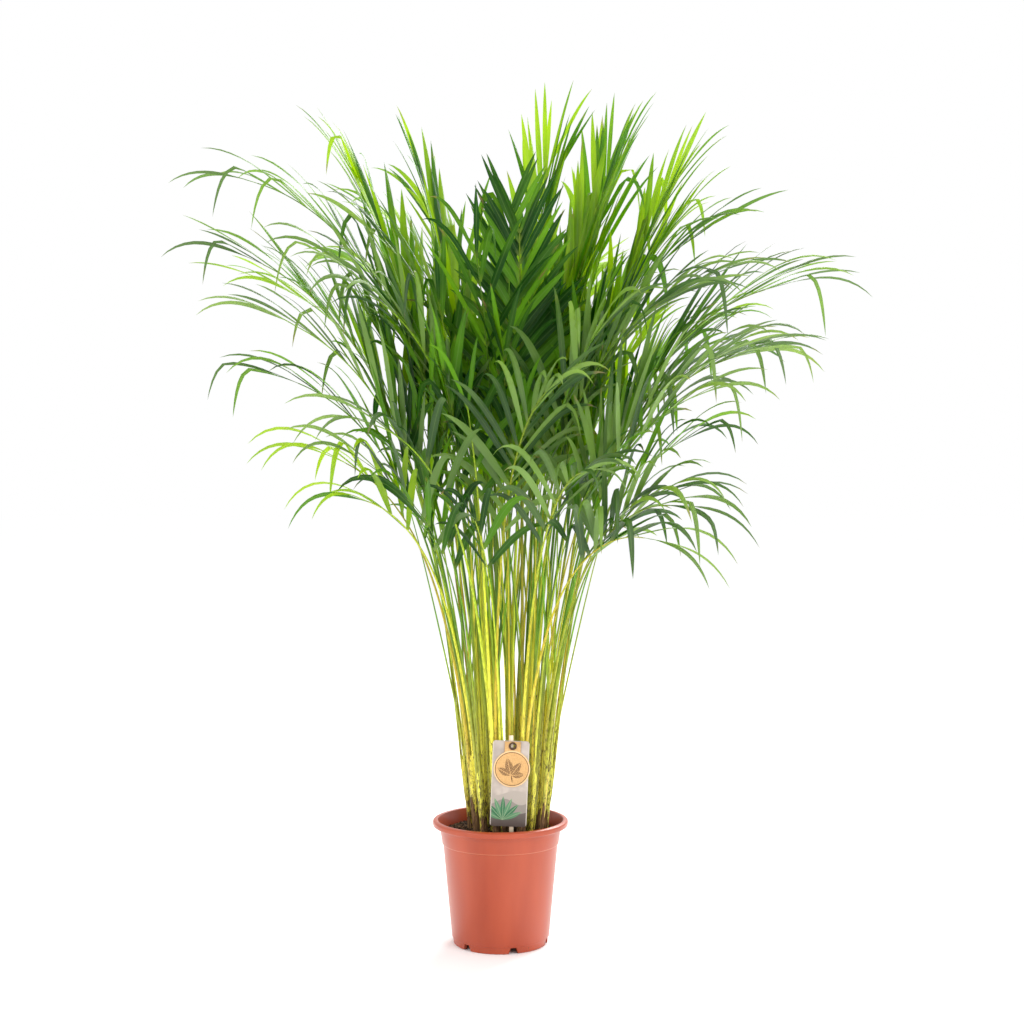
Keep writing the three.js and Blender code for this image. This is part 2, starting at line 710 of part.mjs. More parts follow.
const number = (i) => String(i + 1).padStart(2, "0");
stems.forEach((stem, s) => {
  const sockets = fronds
    .filter((frond) => frond.stem === stem)
    .map(({ rib, length }) => {
      const root = along(rib, 0);
      root.point.addScaledVector(root.along, -GAP);
      return loft([root, along(rib, (SOCKET_DEPTH + 8) / length)].map((ring) => ribRing(ring, GAP * 1.5)));
    });
  place("stem_" + number(s), cut(stemBody(stem), sockets), sheath);
});

fronds.forEach((frond, i) => {
  const leaf = Math.sin(frond.azimuth) < 0.2 ? deepLeaf : freshLeaf; // the fronds at the back are younger
  const mesh = place("frond_" + number(i), frondBody(frond), leaf);
  mesh.geometry.translate(-frond.foot.x, -frond.foot.y, -frond.foot.z);
  mesh.position.copy(frond.foot);
});

const board = new THREE.Group();
board.position.set(...LABEL_AT);
board.rotation.y = LABEL_TILT;
palm.add(board);
place("label", labelPlate(), finish(0xb9aca0, 0.4), board);
place("card_tag", cardTag(), finish(0xdba76a, 0.8), board);
place("eyelet", eyelet(), finish(0x4a3328, 0.5), board);
place("label_stick", stick(), finish(0xf1e2d2, 0.5));

export default palm;
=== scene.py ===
# A young areca palm in its plastic nursery pot: a clump of seedling palms in peat, with a printed label
# and a round card tag on a stick. Metres, +Z up, the front is -Y; the origin is under the pot's middle.
import math
import random

import bpy
import numpy as np
from mathutils import Matrix, Vector, noise
from mathutils.bvhtree import BVHTree


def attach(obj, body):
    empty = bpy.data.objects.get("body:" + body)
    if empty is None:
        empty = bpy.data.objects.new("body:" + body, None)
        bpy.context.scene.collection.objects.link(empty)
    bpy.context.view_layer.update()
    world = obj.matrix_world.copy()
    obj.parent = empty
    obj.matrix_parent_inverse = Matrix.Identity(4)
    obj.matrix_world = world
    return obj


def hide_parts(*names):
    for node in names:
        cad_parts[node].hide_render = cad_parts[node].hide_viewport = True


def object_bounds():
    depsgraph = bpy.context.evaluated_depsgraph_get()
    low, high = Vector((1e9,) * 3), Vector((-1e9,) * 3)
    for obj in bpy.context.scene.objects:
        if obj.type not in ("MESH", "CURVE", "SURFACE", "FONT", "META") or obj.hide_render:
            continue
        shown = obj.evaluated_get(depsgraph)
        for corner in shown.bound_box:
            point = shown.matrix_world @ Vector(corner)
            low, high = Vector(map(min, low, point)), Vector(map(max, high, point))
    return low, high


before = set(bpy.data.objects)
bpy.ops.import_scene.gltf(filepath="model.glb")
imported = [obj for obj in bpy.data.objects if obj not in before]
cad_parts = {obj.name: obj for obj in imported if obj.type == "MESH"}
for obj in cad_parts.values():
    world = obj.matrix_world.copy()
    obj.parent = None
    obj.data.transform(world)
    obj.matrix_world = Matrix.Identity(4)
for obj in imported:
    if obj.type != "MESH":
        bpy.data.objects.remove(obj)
cad_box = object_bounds()
bpy.ops.object.select_all(action="DESELECT")


# ---- The view and the studio ----
# The palm stands on a white floor in a white studio. Light comes from all round it, a little more from the
# right, and the white behind it shines through the leaves. The view is level with the middle of the plant.
MM = 0.001

bpy.ops.object.camera_add(location=(0.0162, -2.4, 0.693), rotation=(math.radians(87.9), 0, 0))
camera = bpy.context.object
camera.data.sensor_width = 36
camera.data.lens = 60.43
bpy.context.scene.camera = camera
bpy.context.scene.view_settings.view_transform = "Standard"


def node(tree, kind, inputs=None, **settings):
    """A new shader node. Each of inputs is a value, or the socket that is linked to it."""
    made = tree.nodes.new("ShaderNode" + kind)
    for name, value in settings.items():
        setattr(made, name, value)
    for key, value in (inputs or {}).items():
        if isinstance(value, bpy.types.NodeSocket):
            tree.links.new(value, made.inputs[key])
        else:
            made.inputs[key].default_value = value
    return made


def new_finish(name, **sockets):
    """A material, its node tree and its shader, with sockets such as Roughness set on the shader itself."""
    made = bpy.data.materials.new(name)
    made.use_nodes = True
    shader = made.node_tree.nodes["Principled BSDF"]
    for socket, value in sockets.items():
        shader.inputs[socket.replace("_", " ")].default_value = value
    return made, made.node_tree, shader


world = bpy.data.worlds.new("white_studio")
bpy.context.scene.world = world
world.use_nodes = True
world.node_tree.nodes["Background"].inputs["Color"].default_value = (1, 1, 1, 1)
world.node_tree.nodes["Background"].inputs["Strength"].default_value = 1.0

SOFT_BOXES = [  # place, the point that it faces, size and power
    ((2.2, -2.2, 2.0), (0, 0, 0.55), 1.6, 34),
    ((-2.4, -1.8, 1.6), (0, 0, 0.55), 1.4, 20),
    ((0.9, 1.9, 2.4), (0, 0, 0.8), 1.8, 90),
]
for place, target, size, power in SOFT_BOXES:
    aim = (Vector(target) - Vector(place)).to_track_quat("-Z", "Y").to_euler()
    bpy.ops.object.light_add(type="AREA", location=place, rotation=aim)
    bpy.context.object.data.size = size
    bpy.context.object.data.energy = power

bpy.ops.mesh.primitive_plane_add(size=30, location=(0, 0, -0.4 * MM))
floor = bpy.context.object
floor.name = "studio_floor"
floor_finish, _, floor_shader = new_finish("studio_floor", Roughness=1, Specular_IOR_Level=0)
floor_shader.inputs["Base Color"].default_value = (1, 1, 1, 1)
floor.data.materials.append(floor_finish)


# ---- The pot ----
# A nursery pot moulded in one piece from terracotta-coloured plastic. Its wall tapers, steps out at a fine
# ledge to a collar, and rolls over into the lip. It stands on a foot ring with six notches.
POT_SIDES = 128
FLOOR_TOP = 11
FLOOR_UNDER = 9.3
NOTCHES = 6
NOTCH_TURN = math.radians(-74)
NOTCH_HEIGHT = 8.4
DRAIN_RADIUS = 4.5
DRAIN_RING = 44
INSIDE_WALL = [(66.7, 10.6), (78.9, 140.1), (80.5, 141.6), (82.7, 157.6)]


def to_mode(mode):
    bpy.ops.object.mode_set(mode=mode)


def smooth(degrees):
    """Shades the active piece smooth, but for edges sharper than so many degrees."""
    bpy.ops.object.shade_smooth_by_angle(angle=math.radians(degrees))


def arc(radius, height, reach, start, end, steps):
    """Rings round a small arc: its middle's radius and height, its own radius, two angles in degrees."""
    angles = [math.radians(start + (end - start) * i / steps) for i in range(steps + 1)]
    return [(radius + reach * math.cos(a), height + reach * math.sin(a)) for a in angles]


def turned_solid(name, rings, sides):
    """A solid turned about +Z: a disc, pulled on from ring to ring. A ring is (radius, height) in mm."""
    (radius, height), *others = rings
    bpy.ops.mesh.primitive_circle_add(vertices=sides, radius=radius * MM, fill_type="NGON")
    piece = bpy.context.object
    piece.name = name
    to_mode("EDIT")
    bpy.ops.transform.translate(value=(0, 0, height * MM))
    for wider, higher in others:
        rise = {"value": (0, 0, (higher - height) * MM)}
        bpy.ops.mesh.extrude_region_move(TRANSFORM_OT_translate=rise)
        share = wider / radius
        bpy.ops.transform.resize(value=(share, share, 1), center_override=(0, 0, higher * MM))
        radius, height = wider, higher
    bpy.ops.mesh.select_all(action="SELECT")
    bpy.ops.mesh.normals_make_consistent(inside=False)
    to_mode("OBJECT")
    return piece


def only(piece):
    """Selects one piece and makes it the active one."""
    bpy.ops.object.select_all(action="DESELECT")
    piece.select_set(True)
    bpy.context.view_layer.objects.active = piece


def set_in_place(piece):
    """Puts a piece's place, turn and size into its mesh, so that its object sits at the origin."""
    only(piece)
    bpy.ops.object.transform_apply(location=True, rotation=True, scale=True)


def combine(piece, tool, operation="DIFFERENCE"):
    """Cuts the tool out of a piece, or joins it on, and takes the tool away."""
    only(piece)
    bpy.ops.object.modifier_add(type="BOOLEAN")
    piece.modifiers["Boolean"].solver = "EXACT"
    piece.modifiers["Boolean"].operation = operation
    piece.modifiers["Boolean"].object = tool
    bpy.ops.object.modifier_apply(modifier="Boolean")
    bpy.data.objects.remove(tool)


def cut_away(piece, tools):
    """Cuts the tools out one by one, since some of them overlap."""
    for tool in tools:
        set_in_place(tool)
        combine(piece, tool)


foot = [(18, 0), (21, FLOOR_UNDER), (59, FLOOR_UNDER), (60, 0.5), (60.5, 0), (65.6, 0), (66.1, 0.5)]
foot += [(67.1, 8.9), (67.4, 9.3), (68.1, 9.6), (68.4, 10.1)]
wall = [(80.6, 139.2), (80.8, 139.8), (81.8, 140.6), (82.1, 141.2), (84.4, 157), (85.3, 161.9)]
lip = [(86.4, 163.8), (91.4, 164.5), *arc(92.2, 167.6, 2.8, -75, 0, 5), *arc(92.6, 170.8, 2.4, 0, 70, 4)]
lip += [(91.8, 173.8), (90.4, 174), *arc(89.4, 172.2, 1.8, 80, 170, 4)]
inside = [*INSIDE_WALL[:0:-1], (66.74, FLOOR_TOP)]
pot = turned_solid("nursery_pot", foot + wall + lip + inside, POT_SIDES)

cutters = []
for i in range(NOTCHES):
    angle = NOTCH_TURN + i * 2 * math.pi / NOTCHES
    across = Vector((math.cos(angle), math.sin(angle), 0))
    bpy.ops.mesh.primitive_cube_add(size=1, location=across * 66 * MM, rotation=(0, 0, angle))
    cutters.append(bpy.context.object)
    to_mode("EDIT")
    bpy.ops.transform.resize(value=(18 * MM, 18 * MM, 2 * NOTCH_HEIGHT * MM))
    bpy.ops.mesh.select_all(action="DESELECT")
    to_mode("OBJECT")
    for corner in cutters[-1].data.vertices:
        corner.select = corner.co.z > 0
    to_mode("EDIT")
    bpy.ops.transform.resize(value=(1, 0.48, 1), orient_type="LOCAL", center_override=across * 66 * MM)
    to_mode("OBJECT")
    drain_place = across * DRAIN_RING * MM + Vector((0, 0, FLOOR_TOP * MM))
    bpy.ops.mesh.primitive_cylinder_add(
        vertices=24, radius=DRAIN_RADIUS * MM, depth=10 * MM, location=drain_place
    )
    cutters.append(bpy.context.object)
cut_away(pot, cutters)
smooth(32)


def place_of(tree):
    """The place on the piece, in metres."""
    return node(tree, "TexCoord").outputs["Object"]


def xyz(tree, vector):
    """The three numbers of a place, by their letters."""
    return node(tree, "SeparateXYZ", {0: vector}).outputs


def noisy(tree, spot, scale, detail=2, roughness=0.5):
    """A cloudy pattern from 0 to 1. Three numbers as its scale draw it out along an axis."""
    if isinstance(scale, tuple):
        spot, scale = node(tree, "Mapping", {"Vector": spot, "Scale": scale}).outputs["Vector"], 1
    sockets = {"Vector": spot, "Scale": scale, "Detail": detail, "Roughness": roughness}
    return node(tree, "TexNoise", sockets).outputs["Fac"]


def ranged(tree, value, low, high, first, last):
    """A value between low and high, turned into one from first to last."""
    return node(tree, "MapRange", {"Value": value, 1: low, 2: high, 3: first, 4: last}).outputs["Result"]


def maths(tree, operation, a, b=0.0, c=0.0):
    return node(tree, "Math", {0: a, 1: b, 2: c}, operation=operation).outputs[0]


def ramp(tree, value, *stops):
    """The colour for a value, between stops that are each a value and a colour."""
    made = node(tree, "ValToRGB", {0: value})
    elements = made.color_ramp.elements
    for element, (place, _) in zip(elements, (stops[0], stops[-1])):
        element.position = place
    for place, _ in stops[1:-1]:
        elements.new(place)
    for element, (_, colour) in zip(elements, stops):
        element.color = (*colour, 1)
    return made.outputs["Color"]


def opaque(colour):
    """Three numbers with the fourth that a colour takes. A socket stays as it is."""
    return (*colour, 1) if isinstance(colour, tuple) else colour


def blend(tree, share, under, over, kind="MIX"):
    """One colour laid over another by a share from 0 to 1."""
    sockets = {0: share, 6: opaque(under), 7: opaque(over)}
    return node(tree, "Mix", sockets, data_type="RGBA", blend_type=kind).outputs[2]


def raised(tree, shader, height, strength, distance):
    """Gives a surface its fine relief."""
    sockets = {"Height": height, "Strength": strength, "Distance": distance}
    relief = node(tree, "Bump", sockets).outputs["Normal"]
    tree.links.new(relief, shader.inputs["Normal"])
    return relief


plastic, tree, shader = new_finish("terracotta_plastic", Specular_IOR_Level=0.5, Coat_Weight=0.1)
spot = place_of(tree)
height = xyz(tree, spot)["Z"]
# The moulding's faint cloudy tone, drawn out up and down the wall.
cloud = noisy(tree, spot, (26, 26, 5), 3)
tone = ramp(tree, cloud, (0.3, (0.37, 0.050, 0.015)), (0.72, (0.46, 0.072, 0.024)))
# Fine scuffs and specks of peat, most of them low on the wall.
grit = noisy(tree, spot, 420, 2, 0.7)
low = ranged(tree, height, 0.016, 0.006, 0.0, 0.085)
speck = ranged(tree, maths(tree, "ADD", grit, low), 0.745, 0.775, 0.0, 0.8)
soiled = blend(tree, speck, tone, (0.07, 0.03, 0.018))
# A painted highlight: the ledge is painted paler in a thin line, for the light that catches its edge.
painted_ledge_highlight = maths(tree, "MULTIPLY", maths(tree, "COMPARE", height, 141.0 * MM, 0.55 * MM), 0.35)
ledge_highlit = blend(tree, painted_ledge_highlight, soiled, (0.68, 0.26, 0.14))
tree.links.new(ledge_highlit, shader.inputs["Base Color"])
gloss = ranged(tree, cloud, 0.3, 0.7, 0.30, 0.40)
tree.links.new(gloss, shader.inputs["Roughness"])
skin = noisy(tree, spot, 900)
raised(tree, shader, skin, 0.05, 0.3 * MM)
pot.data.materials.append(plastic)
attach(pot, "root")
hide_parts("pot")


# ---- The clump ----
# The plant is a clump of seedling palms that were potted together. Fourteen of them are strong. Each stands
# with its foot in the peat and leans out from the middle, and its fronds rise out of the rolled sheath.

# Each entry is a seedling, in mm and degrees: its place from the clump's middle, the height of its sheath,
# and its fronds. A frond has the compass angle that it leans to, 0 right and 90 back, its length, its lean
# from upright at root and at tip, and its longest leaflet.
SEEDLINGS = [
    ((50, 6), 120, [(-12, 620, 9, 74, 195), (3, 740, 9, 76, 215), (24, 815, 8, 32, 195)]),
    ((33, 38), 150, [(15, 740, 9, 38, 165), (46, 790, 7, 22, 215), (100, 770, 8, 62, 200)]),
    ((2, 50), 140, [(66, 760, 8, 70, 200), (102, 720, 10, 84, 200), (138, 800, 7, 56, 200)]),
    ((-30, 42), 160, [(130, 760, 9, 74, 200), (164, 780, 9, 30, 215), (173, 875, 8, 74, 200)]),
    ((-46, 14), 130, [(166, 720, 10, 68, 200), (182, 750, 10, 66, 205), (204, 640, 10, 66, 200)]),
    ((-42, -22), 110, [(188, 590, 11, 70, 205), (206, 460, 11, 66, 190), (222, 420, 12, 76, 190)]),
    ((-16, -44), 120, [(226, 520, 9, 78, 190), (252, 480, 8, 22, 180), (288, 540, 5, 66, 190)]),
    ((18, -42), 110, [(296, 470, 8, 84, 185), (322, 400, 11, 100, 180)]),
    ((44, -28), 120, [(326, 430, 11, 94, 190), (332, 540, 9, 68, 195), (342, 630, 9, 78, 200)]),
    ((24, 6), 200, [(340, 620, 8, 68, 195), (2, 680, 7, 58, 195), (32, 715, 6, 24, 205)]),
    ((2, 22), 210, [(48, 735, 4, 16, 200), (134, 700, 6, 42, 195), (202, 640, 6, 52, 200)]),
    ((-22, 8), 190, [(150, 705, 5, 18, 195), (192, 640, 7, 54, 200), (232, 600, 7, 66, 190)]),
    ((-10, -16), 190, [(206, 600, 6, 56, 190), (256, 620, 4, 40, 190)]),
    ((17, -18), 180, [(262, 650, 3, 12, 205), (304, 560, 7, 56, 190), (330, 600, 7, 64, 195)]),
]
# Weaker seedlings stand between them: thin canes with small fronds. A frond without leaflets is a spear, a
# leaf that hasn't opened yet.
SLENDER = [
    ((4, -22), 130, [(266, 725, 3, 9, 200), (300, 520, 3, 8, 0), (230, 470, 3, 8, 0)]),
    ((-31, -35), 90, [(212, 430, 6, 40, 170), (240, 560, 5, 24, 170), (222, 520, 5, 12, 0)]),
    ((-52, -3), 100, [(190, 520, 8, 30, 170), (176, 640, 7, 26, 170), (184, 430, 12, 18, 0)]),
    ((-40, 30), 120, [(160, 600, 7, 22, 170), (170, 520, 9, 14, 0)]),
    ((-14, 32), 130, [(120, 620, 5, 24, 170), (150, 560, 4, 30, 170), (200, 520, 5, 8, 0)]),
    ((18, 38), 120, [(70, 640, 6, 26, 170), (330, 540, 5, 9, 0)]),
    ((40, 20), 110, [(16, 640, 10, 58, 185), (40, 580, 8, 40, 175), (8, 500, 8, 15, 0)]),
    ((35, -11), 120, [(354, 560, 9, 56, 180), (318, 600, 5, 22, 170), (340, 480, 5, 10, 0)]),
    ((32, -40), 90, [(312, 420, 7, 44, 165), (330, 440, 5, 10, 0)]),
    ((2, -33), 100, [(278, 470, 3, 26, 170), (262, 560, 3, 20, 170), (190, 480, 3, 7, 0)]),
    ((-28, -12), 120, [(216, 540, 5, 30, 170), (230, 620, 4, 22, 170), (200, 500, 4, 9, 0)]),
    ((-8, 4), 140, [(180, 560, 3, 18, 170), (200, 520, 3, 6, 0)]),
    ((11, 2), 140, [(330, 560, 3, 16, 170), (20, 640, 4, 20, 170), (350, 500, 3, 6, 0)]),
    ((53, -13), 90, [(352, 500, 9, 60, 175), (338, 560, 7, 42, 175), (356, 400, 12, 18, 0)]),
    ((-6, -46), 80, [(250, 380, 5, 46, 160), (200, 400, 4, 8, 0)]),
    ((-36, 6), 130, [(186, 620, 6, 26, 170), (200, 520, 6, 30, 170), (190, 540, 6, 12, 0)]),
    ((28, 24), 120, [(30, 620, 5, 24, 170), (355, 520, 5, 9, 0)]),
    ((-18, 20), 120, [(180, 540, 4, 8, 0), (210, 480, 5, 12, 0)]),
    ((10, 34), 130, [(0, 540, 4, 8, 0), (180, 560, 3, 7, 0)]),
    ((40, 4), 100, [(4, 600, 9, 46, 180), (330, 470, 6, 12, 0)]),
    ((46, -41), 90, [(328, 440, 9, 70, 180), (316, 390, 8, 60, 180)]),
    ((-34, -46), 90, [(214, 470, 9, 60, 180), (226, 400, 8, 50, 180)]),
    ((26, -28), 100, [(320, 500, 4, 9, 0), (280, 430, 3, 9, 0)]),
    ((-20, -26), 100, [(210, 500, 4, 10, 0), (236, 440, 4, 12, 0)]),
]
CLUMP_SHIFT = 10
SOIL_EDGE = 155
SOIL_MOUND = 9
STEM_DEPTH = 40
STEM_TILT = math.radians(0.11)  # for each millimetre from the middle of the clump
SOCKET_DEPTH = 14
SOCKET_RING = 3.9
THIN = 0.68  # the girth of a slender seedling, against 1 for a strong one


def vary(seed):
    """A number from 0 to 1 that jumps about with the seed."""
    value = math.sin(seed * 12.9898 + 78.233) * 43758.5453
    return value - math.floor(value)


def spread(seed, reach):
    return (vary(seed) - 0.5) * 2 * reach


def mix(a, b, share):
    return a + (b - a) * share


def heading(lean, azimuth):
    """The direction that leans so far from upright towards a compass angle."""
    across = math.sin(lean)
    return Vector((across * math.cos(azimuth), across * math.sin(azimuth), math.cos(lean)))


stems = []
fronds = []
for (x, y), sheath_height, listed in SEEDLINGS + SLENDER:
    girth = 1 if len(stems) < len(SEEDLINGS) else THIN
    outward = math.atan2(y, x)
    axis = heading(math.hypot(x, y) * STEM_TILT, outward)
    ground = Vector((x + CLUMP_SHIFT, y, SOIL_EDGE + SOIL_MOUND / 2)) * MM
    mouth = ground + axis * sheath_height * MM
    stem = {"ground": ground, "axis": axis, "height": sheath_height * MM, "girth": girth, "fronds": []}
    for k, (azimuth, length, lean, tip, leaflet) in enumerate(listed):
        turn = outward + (k - (len(listed) - 1) / 2) * 2 * math.pi / max(3, len(listed))
        ring = Vector((math.cos(turn), math.sin(turn), 0)) * SOCKET_RING * girth * MM
        frond = {
            "foot": mouth - axis * SOCKET_DEPTH * MM + ring,
            "ring": ring,
            "axis": axis,
            "azimuth": math.radians(azimuth),
            "length": (length + SOCKET_DEPTH) * MM,
            "lean": math.radians(lean),
            "tip": math.radians(tip),
            "leaflet": leaflet * MM,
            "girth": girth,
            "seed": len(fronds) * 3.3,
        }
        stem["fronds"].append(frond)
        fronds.append(frond)
    stems.append(stem)
# Two more spears stand in the mouth of each strong stem, between its stalks.
for s, stem in enumerate(stems[:len(SEEDLINGS)]):
    for k in (-1, 1):
        turn = math.atan2(stem["axis"].y, stem["axis"].x) + k * 1.9 + spread(s + 0.3 * k, 0.6)
        fronds.append({
            "foot": stem["ground"] + stem["axis"] * (stem["height"] - SOCKET_DEPTH * MM),
            "axis": stem["axis"],
            "azimuth": turn,
            "length": mix(360, 520, vary(s * 2.3 + k)) * MM,
            "lean": math.radians(mix(2, 8, vary(s * 1.9 - k))),
            "tip": math.radians(12),
            "leaflet": 0,
            "girth": THIN,
            "seed": len(fronds) * 3.3,
        })


# ---- The peat ----
# Potting peat fills the pot to a finger below the lip, a little mounded. It is lumpy and loose on top:
# crumbs, chopped fibres and a few white grains of perlite. The stems stand in holes in it.
PEAT_SIDES = 96
CRUMBS = 2600
FIBRES = 420
PERLITE = 46
HOLE_RADIUS = 6.4
HOLE_DEPTH = 62
STICK_PLACE = (15.2, -64.7)  # the middle of the label's stick, right and back
LEAST_FACES = 2000  # the peat has more of them, unless a cut has emptied it


def inner_radius(height):
    """The pot's radius inside, in mm, at a height."""
    for (low_radius, low), (high_radius, high) in zip(INSIDE_WALL, INSIDE_WALL[1:]):
        if height <= high:
            return mix(low_radius, high_radius, (height - low) / (high - low))
    return INSIDE_WALL[-1][0]


PEAT_RADIUS = inner_radius(SOIL_EDGE) - 0.3


def peat_height(x, y):
    """The height of the peat's surface, in mm."""
    share = min(1, math.hypot(x, y) / PEAT_RADIUS)
    lumps = 1.3 * math.sin(x / 9 + 1) * math.cos(y / 7) + 0.7 * math.sin((x - y) / 4.6)
    clods = 1.5 * noise.noise(Vector((x / 5, y / 5, 3)))
    return SOIL_EDGE + SOIL_MOUND * (1 - share**2) + (lumps + clods) * (1 - share**6)


def block(name, middle, size):
    """A block, by its middle and its size in mm."""
    bpy.ops.mesh.primitive_cube_add(size=1, location=Vector(middle) * MM)
    made = bpy.context.object
    made.name = name
    made.scale = Vector(size) * MM
    set_in_place(made)
    return made


sides = [(inner_radius(z) - 0.3, z) for z in (FLOOR_TOP + 0.4, 140.1, 141.6, SOIL_EDGE)]
top = [(PEAT_RADIUS * (1 - i / 26), SOIL_EDGE) for i in range(1, 26)]
peat = turned_solid("peat", sides + top, PEAT_SIDES)
for point in peat.data.vertices:
    if point.co.z > (SOIL_EDGE - 0.1) * MM:
        point.co.z = peat_height(point.co.x / MM, point.co.y / MM) * MM
# Each stem stands in a hole, and the stick in a slot, a little wider than itself.
holes = []
for stem in stems:
    aim = stem["axis"].to_track_quat("Z", "Y").to_euler()
    bpy.ops.mesh.primitive_cylinder_add(
        vertices=16, radius=HOLE_RADIUS * stem["girth"] * MM, depth=HOLE_DEPTH * MM,
        location=stem["ground"] - stem["axis"] * 10 * MM, rotation=aim
    )
    holes.append(bpy.context.object)
holes.append(block("stick_hole", (*STICK_PLACE, 130), (6.8, 2.6, 72)))
cut_away(peat, holes)
if len(peat.data.polygons) < LEAST_FACES:
    raise RuntimeError("a hole emptied the peat")
smooth(50)


def random_turn(draw):
    return Matrix.Rotation(draw.uniform(0, 6.28), 3, (draw.gauss(0, 1), draw.gauss(0, 1), draw.gauss(0, 1)))


def gathered(name, parts, finishes):
    """One piece of many parts, each its points, its faces, their flat places or None, and its finish."""
    points = np.concatenate([part[0] for part in parts])
    starts = np.cumsum([0] + [len(part[0]) for part in parts])
    faces = [[start + i for i in face] for start, part in zip(starts, parts) for face in part[1]]
    mesh = bpy.data.meshes.new(name)
    mesh.from_pydata(points.tolist(), [], faces)
    finish_of = [part[3] for part in parts for _ in part[1]]
    mesh.polygons.foreach_set("material_index", finish_of)
    if parts[0][2] is not None:
        laid = mesh.uv_layers.new(name="blade")
        laid.data.foreach_set("uv", np.concatenate([part[2] for part in parts]).ravel())
    for finish in finishes:
        mesh.materials.append(finish)
    piece = bpy.data.objects.new(name, mesh)
    bpy.context.scene.collection.objects.link(piece)
    only(piece)
    return piece


def blank_of(piece):
    """The points and faces of a finished blank, which is taken away."""
    points = np.array([tuple(point.co) for point in piece.data.vertices])
    faces = [list(face.vertices) for face in piece.data.polygons]
    bpy.data.objects.remove(piece)
    return points, faces


def select_long(piece, axis, least):
    """Enters edit mode with the edges selected that run at least so far along axis 0, 1 or 2."""
    to_mode("EDIT")
    bpy.ops.mesh.select_mode(type="EDGE")
    bpy.ops.mesh.select_all(action="DESELECT")
    to_mode("OBJECT")
    for edge in piece.data.edges:
        one, other = (piece.data.vertices[i].co for i in edge.vertices)
        edge.select = abs(one[axis] - other[axis]) > least
    to_mode("EDIT")


def rod_blank(sides, cuts, ends="NGON"):
    """A rod of radius 1 from 0 to 1 along +Z, cut across into short lengths, as points and faces."""
    bpy.ops.mesh.primitive_cylinder_add(
        vertices=sides, radius=1, depth=1, end_fill_type=ends, location=(0, 0, 0.5)
    )
    rod = bpy.context.object
    set_in_place(rod)
    select_long(rod, 2, 0.5)
    bpy.ops.mesh.subdivide(number_cuts=cuts)
    to_mode("OBJECT")
    return blank_of(rod)


# One crumb and one chopped fibre are modelled, and strewn by a seeded draw.
bpy.ops.mesh.primitive_ico_sphere_add(subdivisions=1, radius=1)
crumb, crumb_faces = blank_of(bpy.context.object)
fibre, fibre_faces = rod_blank(3, 4, "TRIFAN")
fibre[:, 2] -= 0.5

draw = random.Random(7)
strewn = []


def free_place(draw, edge):
    """A place on the peat, in mm, that no stem covers."""
    while True:
        away, turn = (PEAT_RADIUS - edge) * math.sqrt(draw.random()), draw.uniform(0, 2 * math.pi)
        x, y = away * math.cos(turn), away * math.sin(turn)
        place = Vector((x, y, 0)) * MM
        if all((place - stem["ground"].to_2d().to_3d()).length > 7.5 * MM for stem in stems):
            return x, y


for i in range(CRUMBS + PERLITE):
    size = draw.uniform(0.5, 1.3) if i < CRUMBS * 0.8 else draw.uniform(1.2, 2.6)
    if i >= CRUMBS:
        size = draw.uniform(0.5, 1.1)
    x, y = free_place(draw, size * 1.2)
    shape = np.array([draw.uniform(0.7, 1.3), draw.uniform(0.6, 1.1), draw.uniform(0.5, 0.9)]) * size * MM
    points = (crumb * shape) @ np.array(random_turn(draw)).T
    points = points + np.array((x, y, peat_height(x, y) + size * draw.uniform(-0.1, 0.5))) * MM
    strewn.append((points, crumb_faces, None, 1 if i >= CRUMBS else 0))
for i in range(FIBRES):
    length, thick, bend = draw.uniform(6, 24), draw.uniform(0.18, 0.45), draw.uniform(-2.5, 2.5)
    x, y = free_place(draw, length / 2)
    turn = draw.uniform(0, 2 * math.pi)
    reach = fibre[:, 2] * length
    side = fibre[:, 0] * thick + bend * (0.25 - fibre[:, 2] ** 2) * 2
    over_x = x + reach * math.cos(turn) - side * math.sin(turn)
    over_y = y + reach * math.sin(turn) + side * math.cos(turn)
    lie = np.array([peat_height(a, b) for a, b in zip(over_x, over_y)])
    lift = 0.4 + draw.uniform(0, 1.6) * (0.3 + fibre[:, 2]) ** 2
    points = np.stack([over_x, over_y, lie + lift + fibre[:, 1] * thick], axis=1) * MM
    strewn.append((points, fibre_faces, None, 2))

peat_finish, tree, shader = new_finish("moist_peat", Roughness=0.92, Specular_IOR_Level=0.25)
spot = place_of(tree)
grain = noisy(tree, spot, 260, 5, 0.7)
patch = noisy(tree, spot, 45, 3)
both = maths(tree, "MULTIPLY", grain, patch)
tone = ramp(tree, both, (0.16, (0.010, 0.005, 0.0025)), (0.4, (0.095, 0.045, 0.020)))
tree.links.new(tone, shader.inputs["Base Color"])
raised(tree, shader, grain, 0.8, 1.2 * MM)
peat.data.materials.append(peat_finish)
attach(peat, "root")
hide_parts("soil")


def mottled(name, scale, detail, low, high, relief=None, **sockets):
    """A finish in two tones of a cloudy pattern: low and high are each a value of it and a colour."""
    made, tree, shader = new_finish(name, **sockets)
    pattern = noisy(tree, place_of(tree), scale, detail)
    tree.links.new(ramp(tree, pattern, low, high), shader.inputs["Base Color"])
    if relief:
        raised(tree, shader, pattern, *relief)
    return made


perlite_finish = mottled(
    "perlite", 1500, 2, (0, (0.36, 0.31, 0.25)), (1, (0.82, 0.79, 0.72)), Roughness=0.85
)
fibre_finish = mottled(
    "peat_fibre", 90, 2, (0.35, (0.035, 0.018, 0.009)), (0.65, (0.34, 0.20, 0.10)), Roughness=0.8
)
crumbs = gathered("peat_crumbs", strewn, [peat_finish, perlite_finish, fibre_finish])
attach(crumbs, "root")


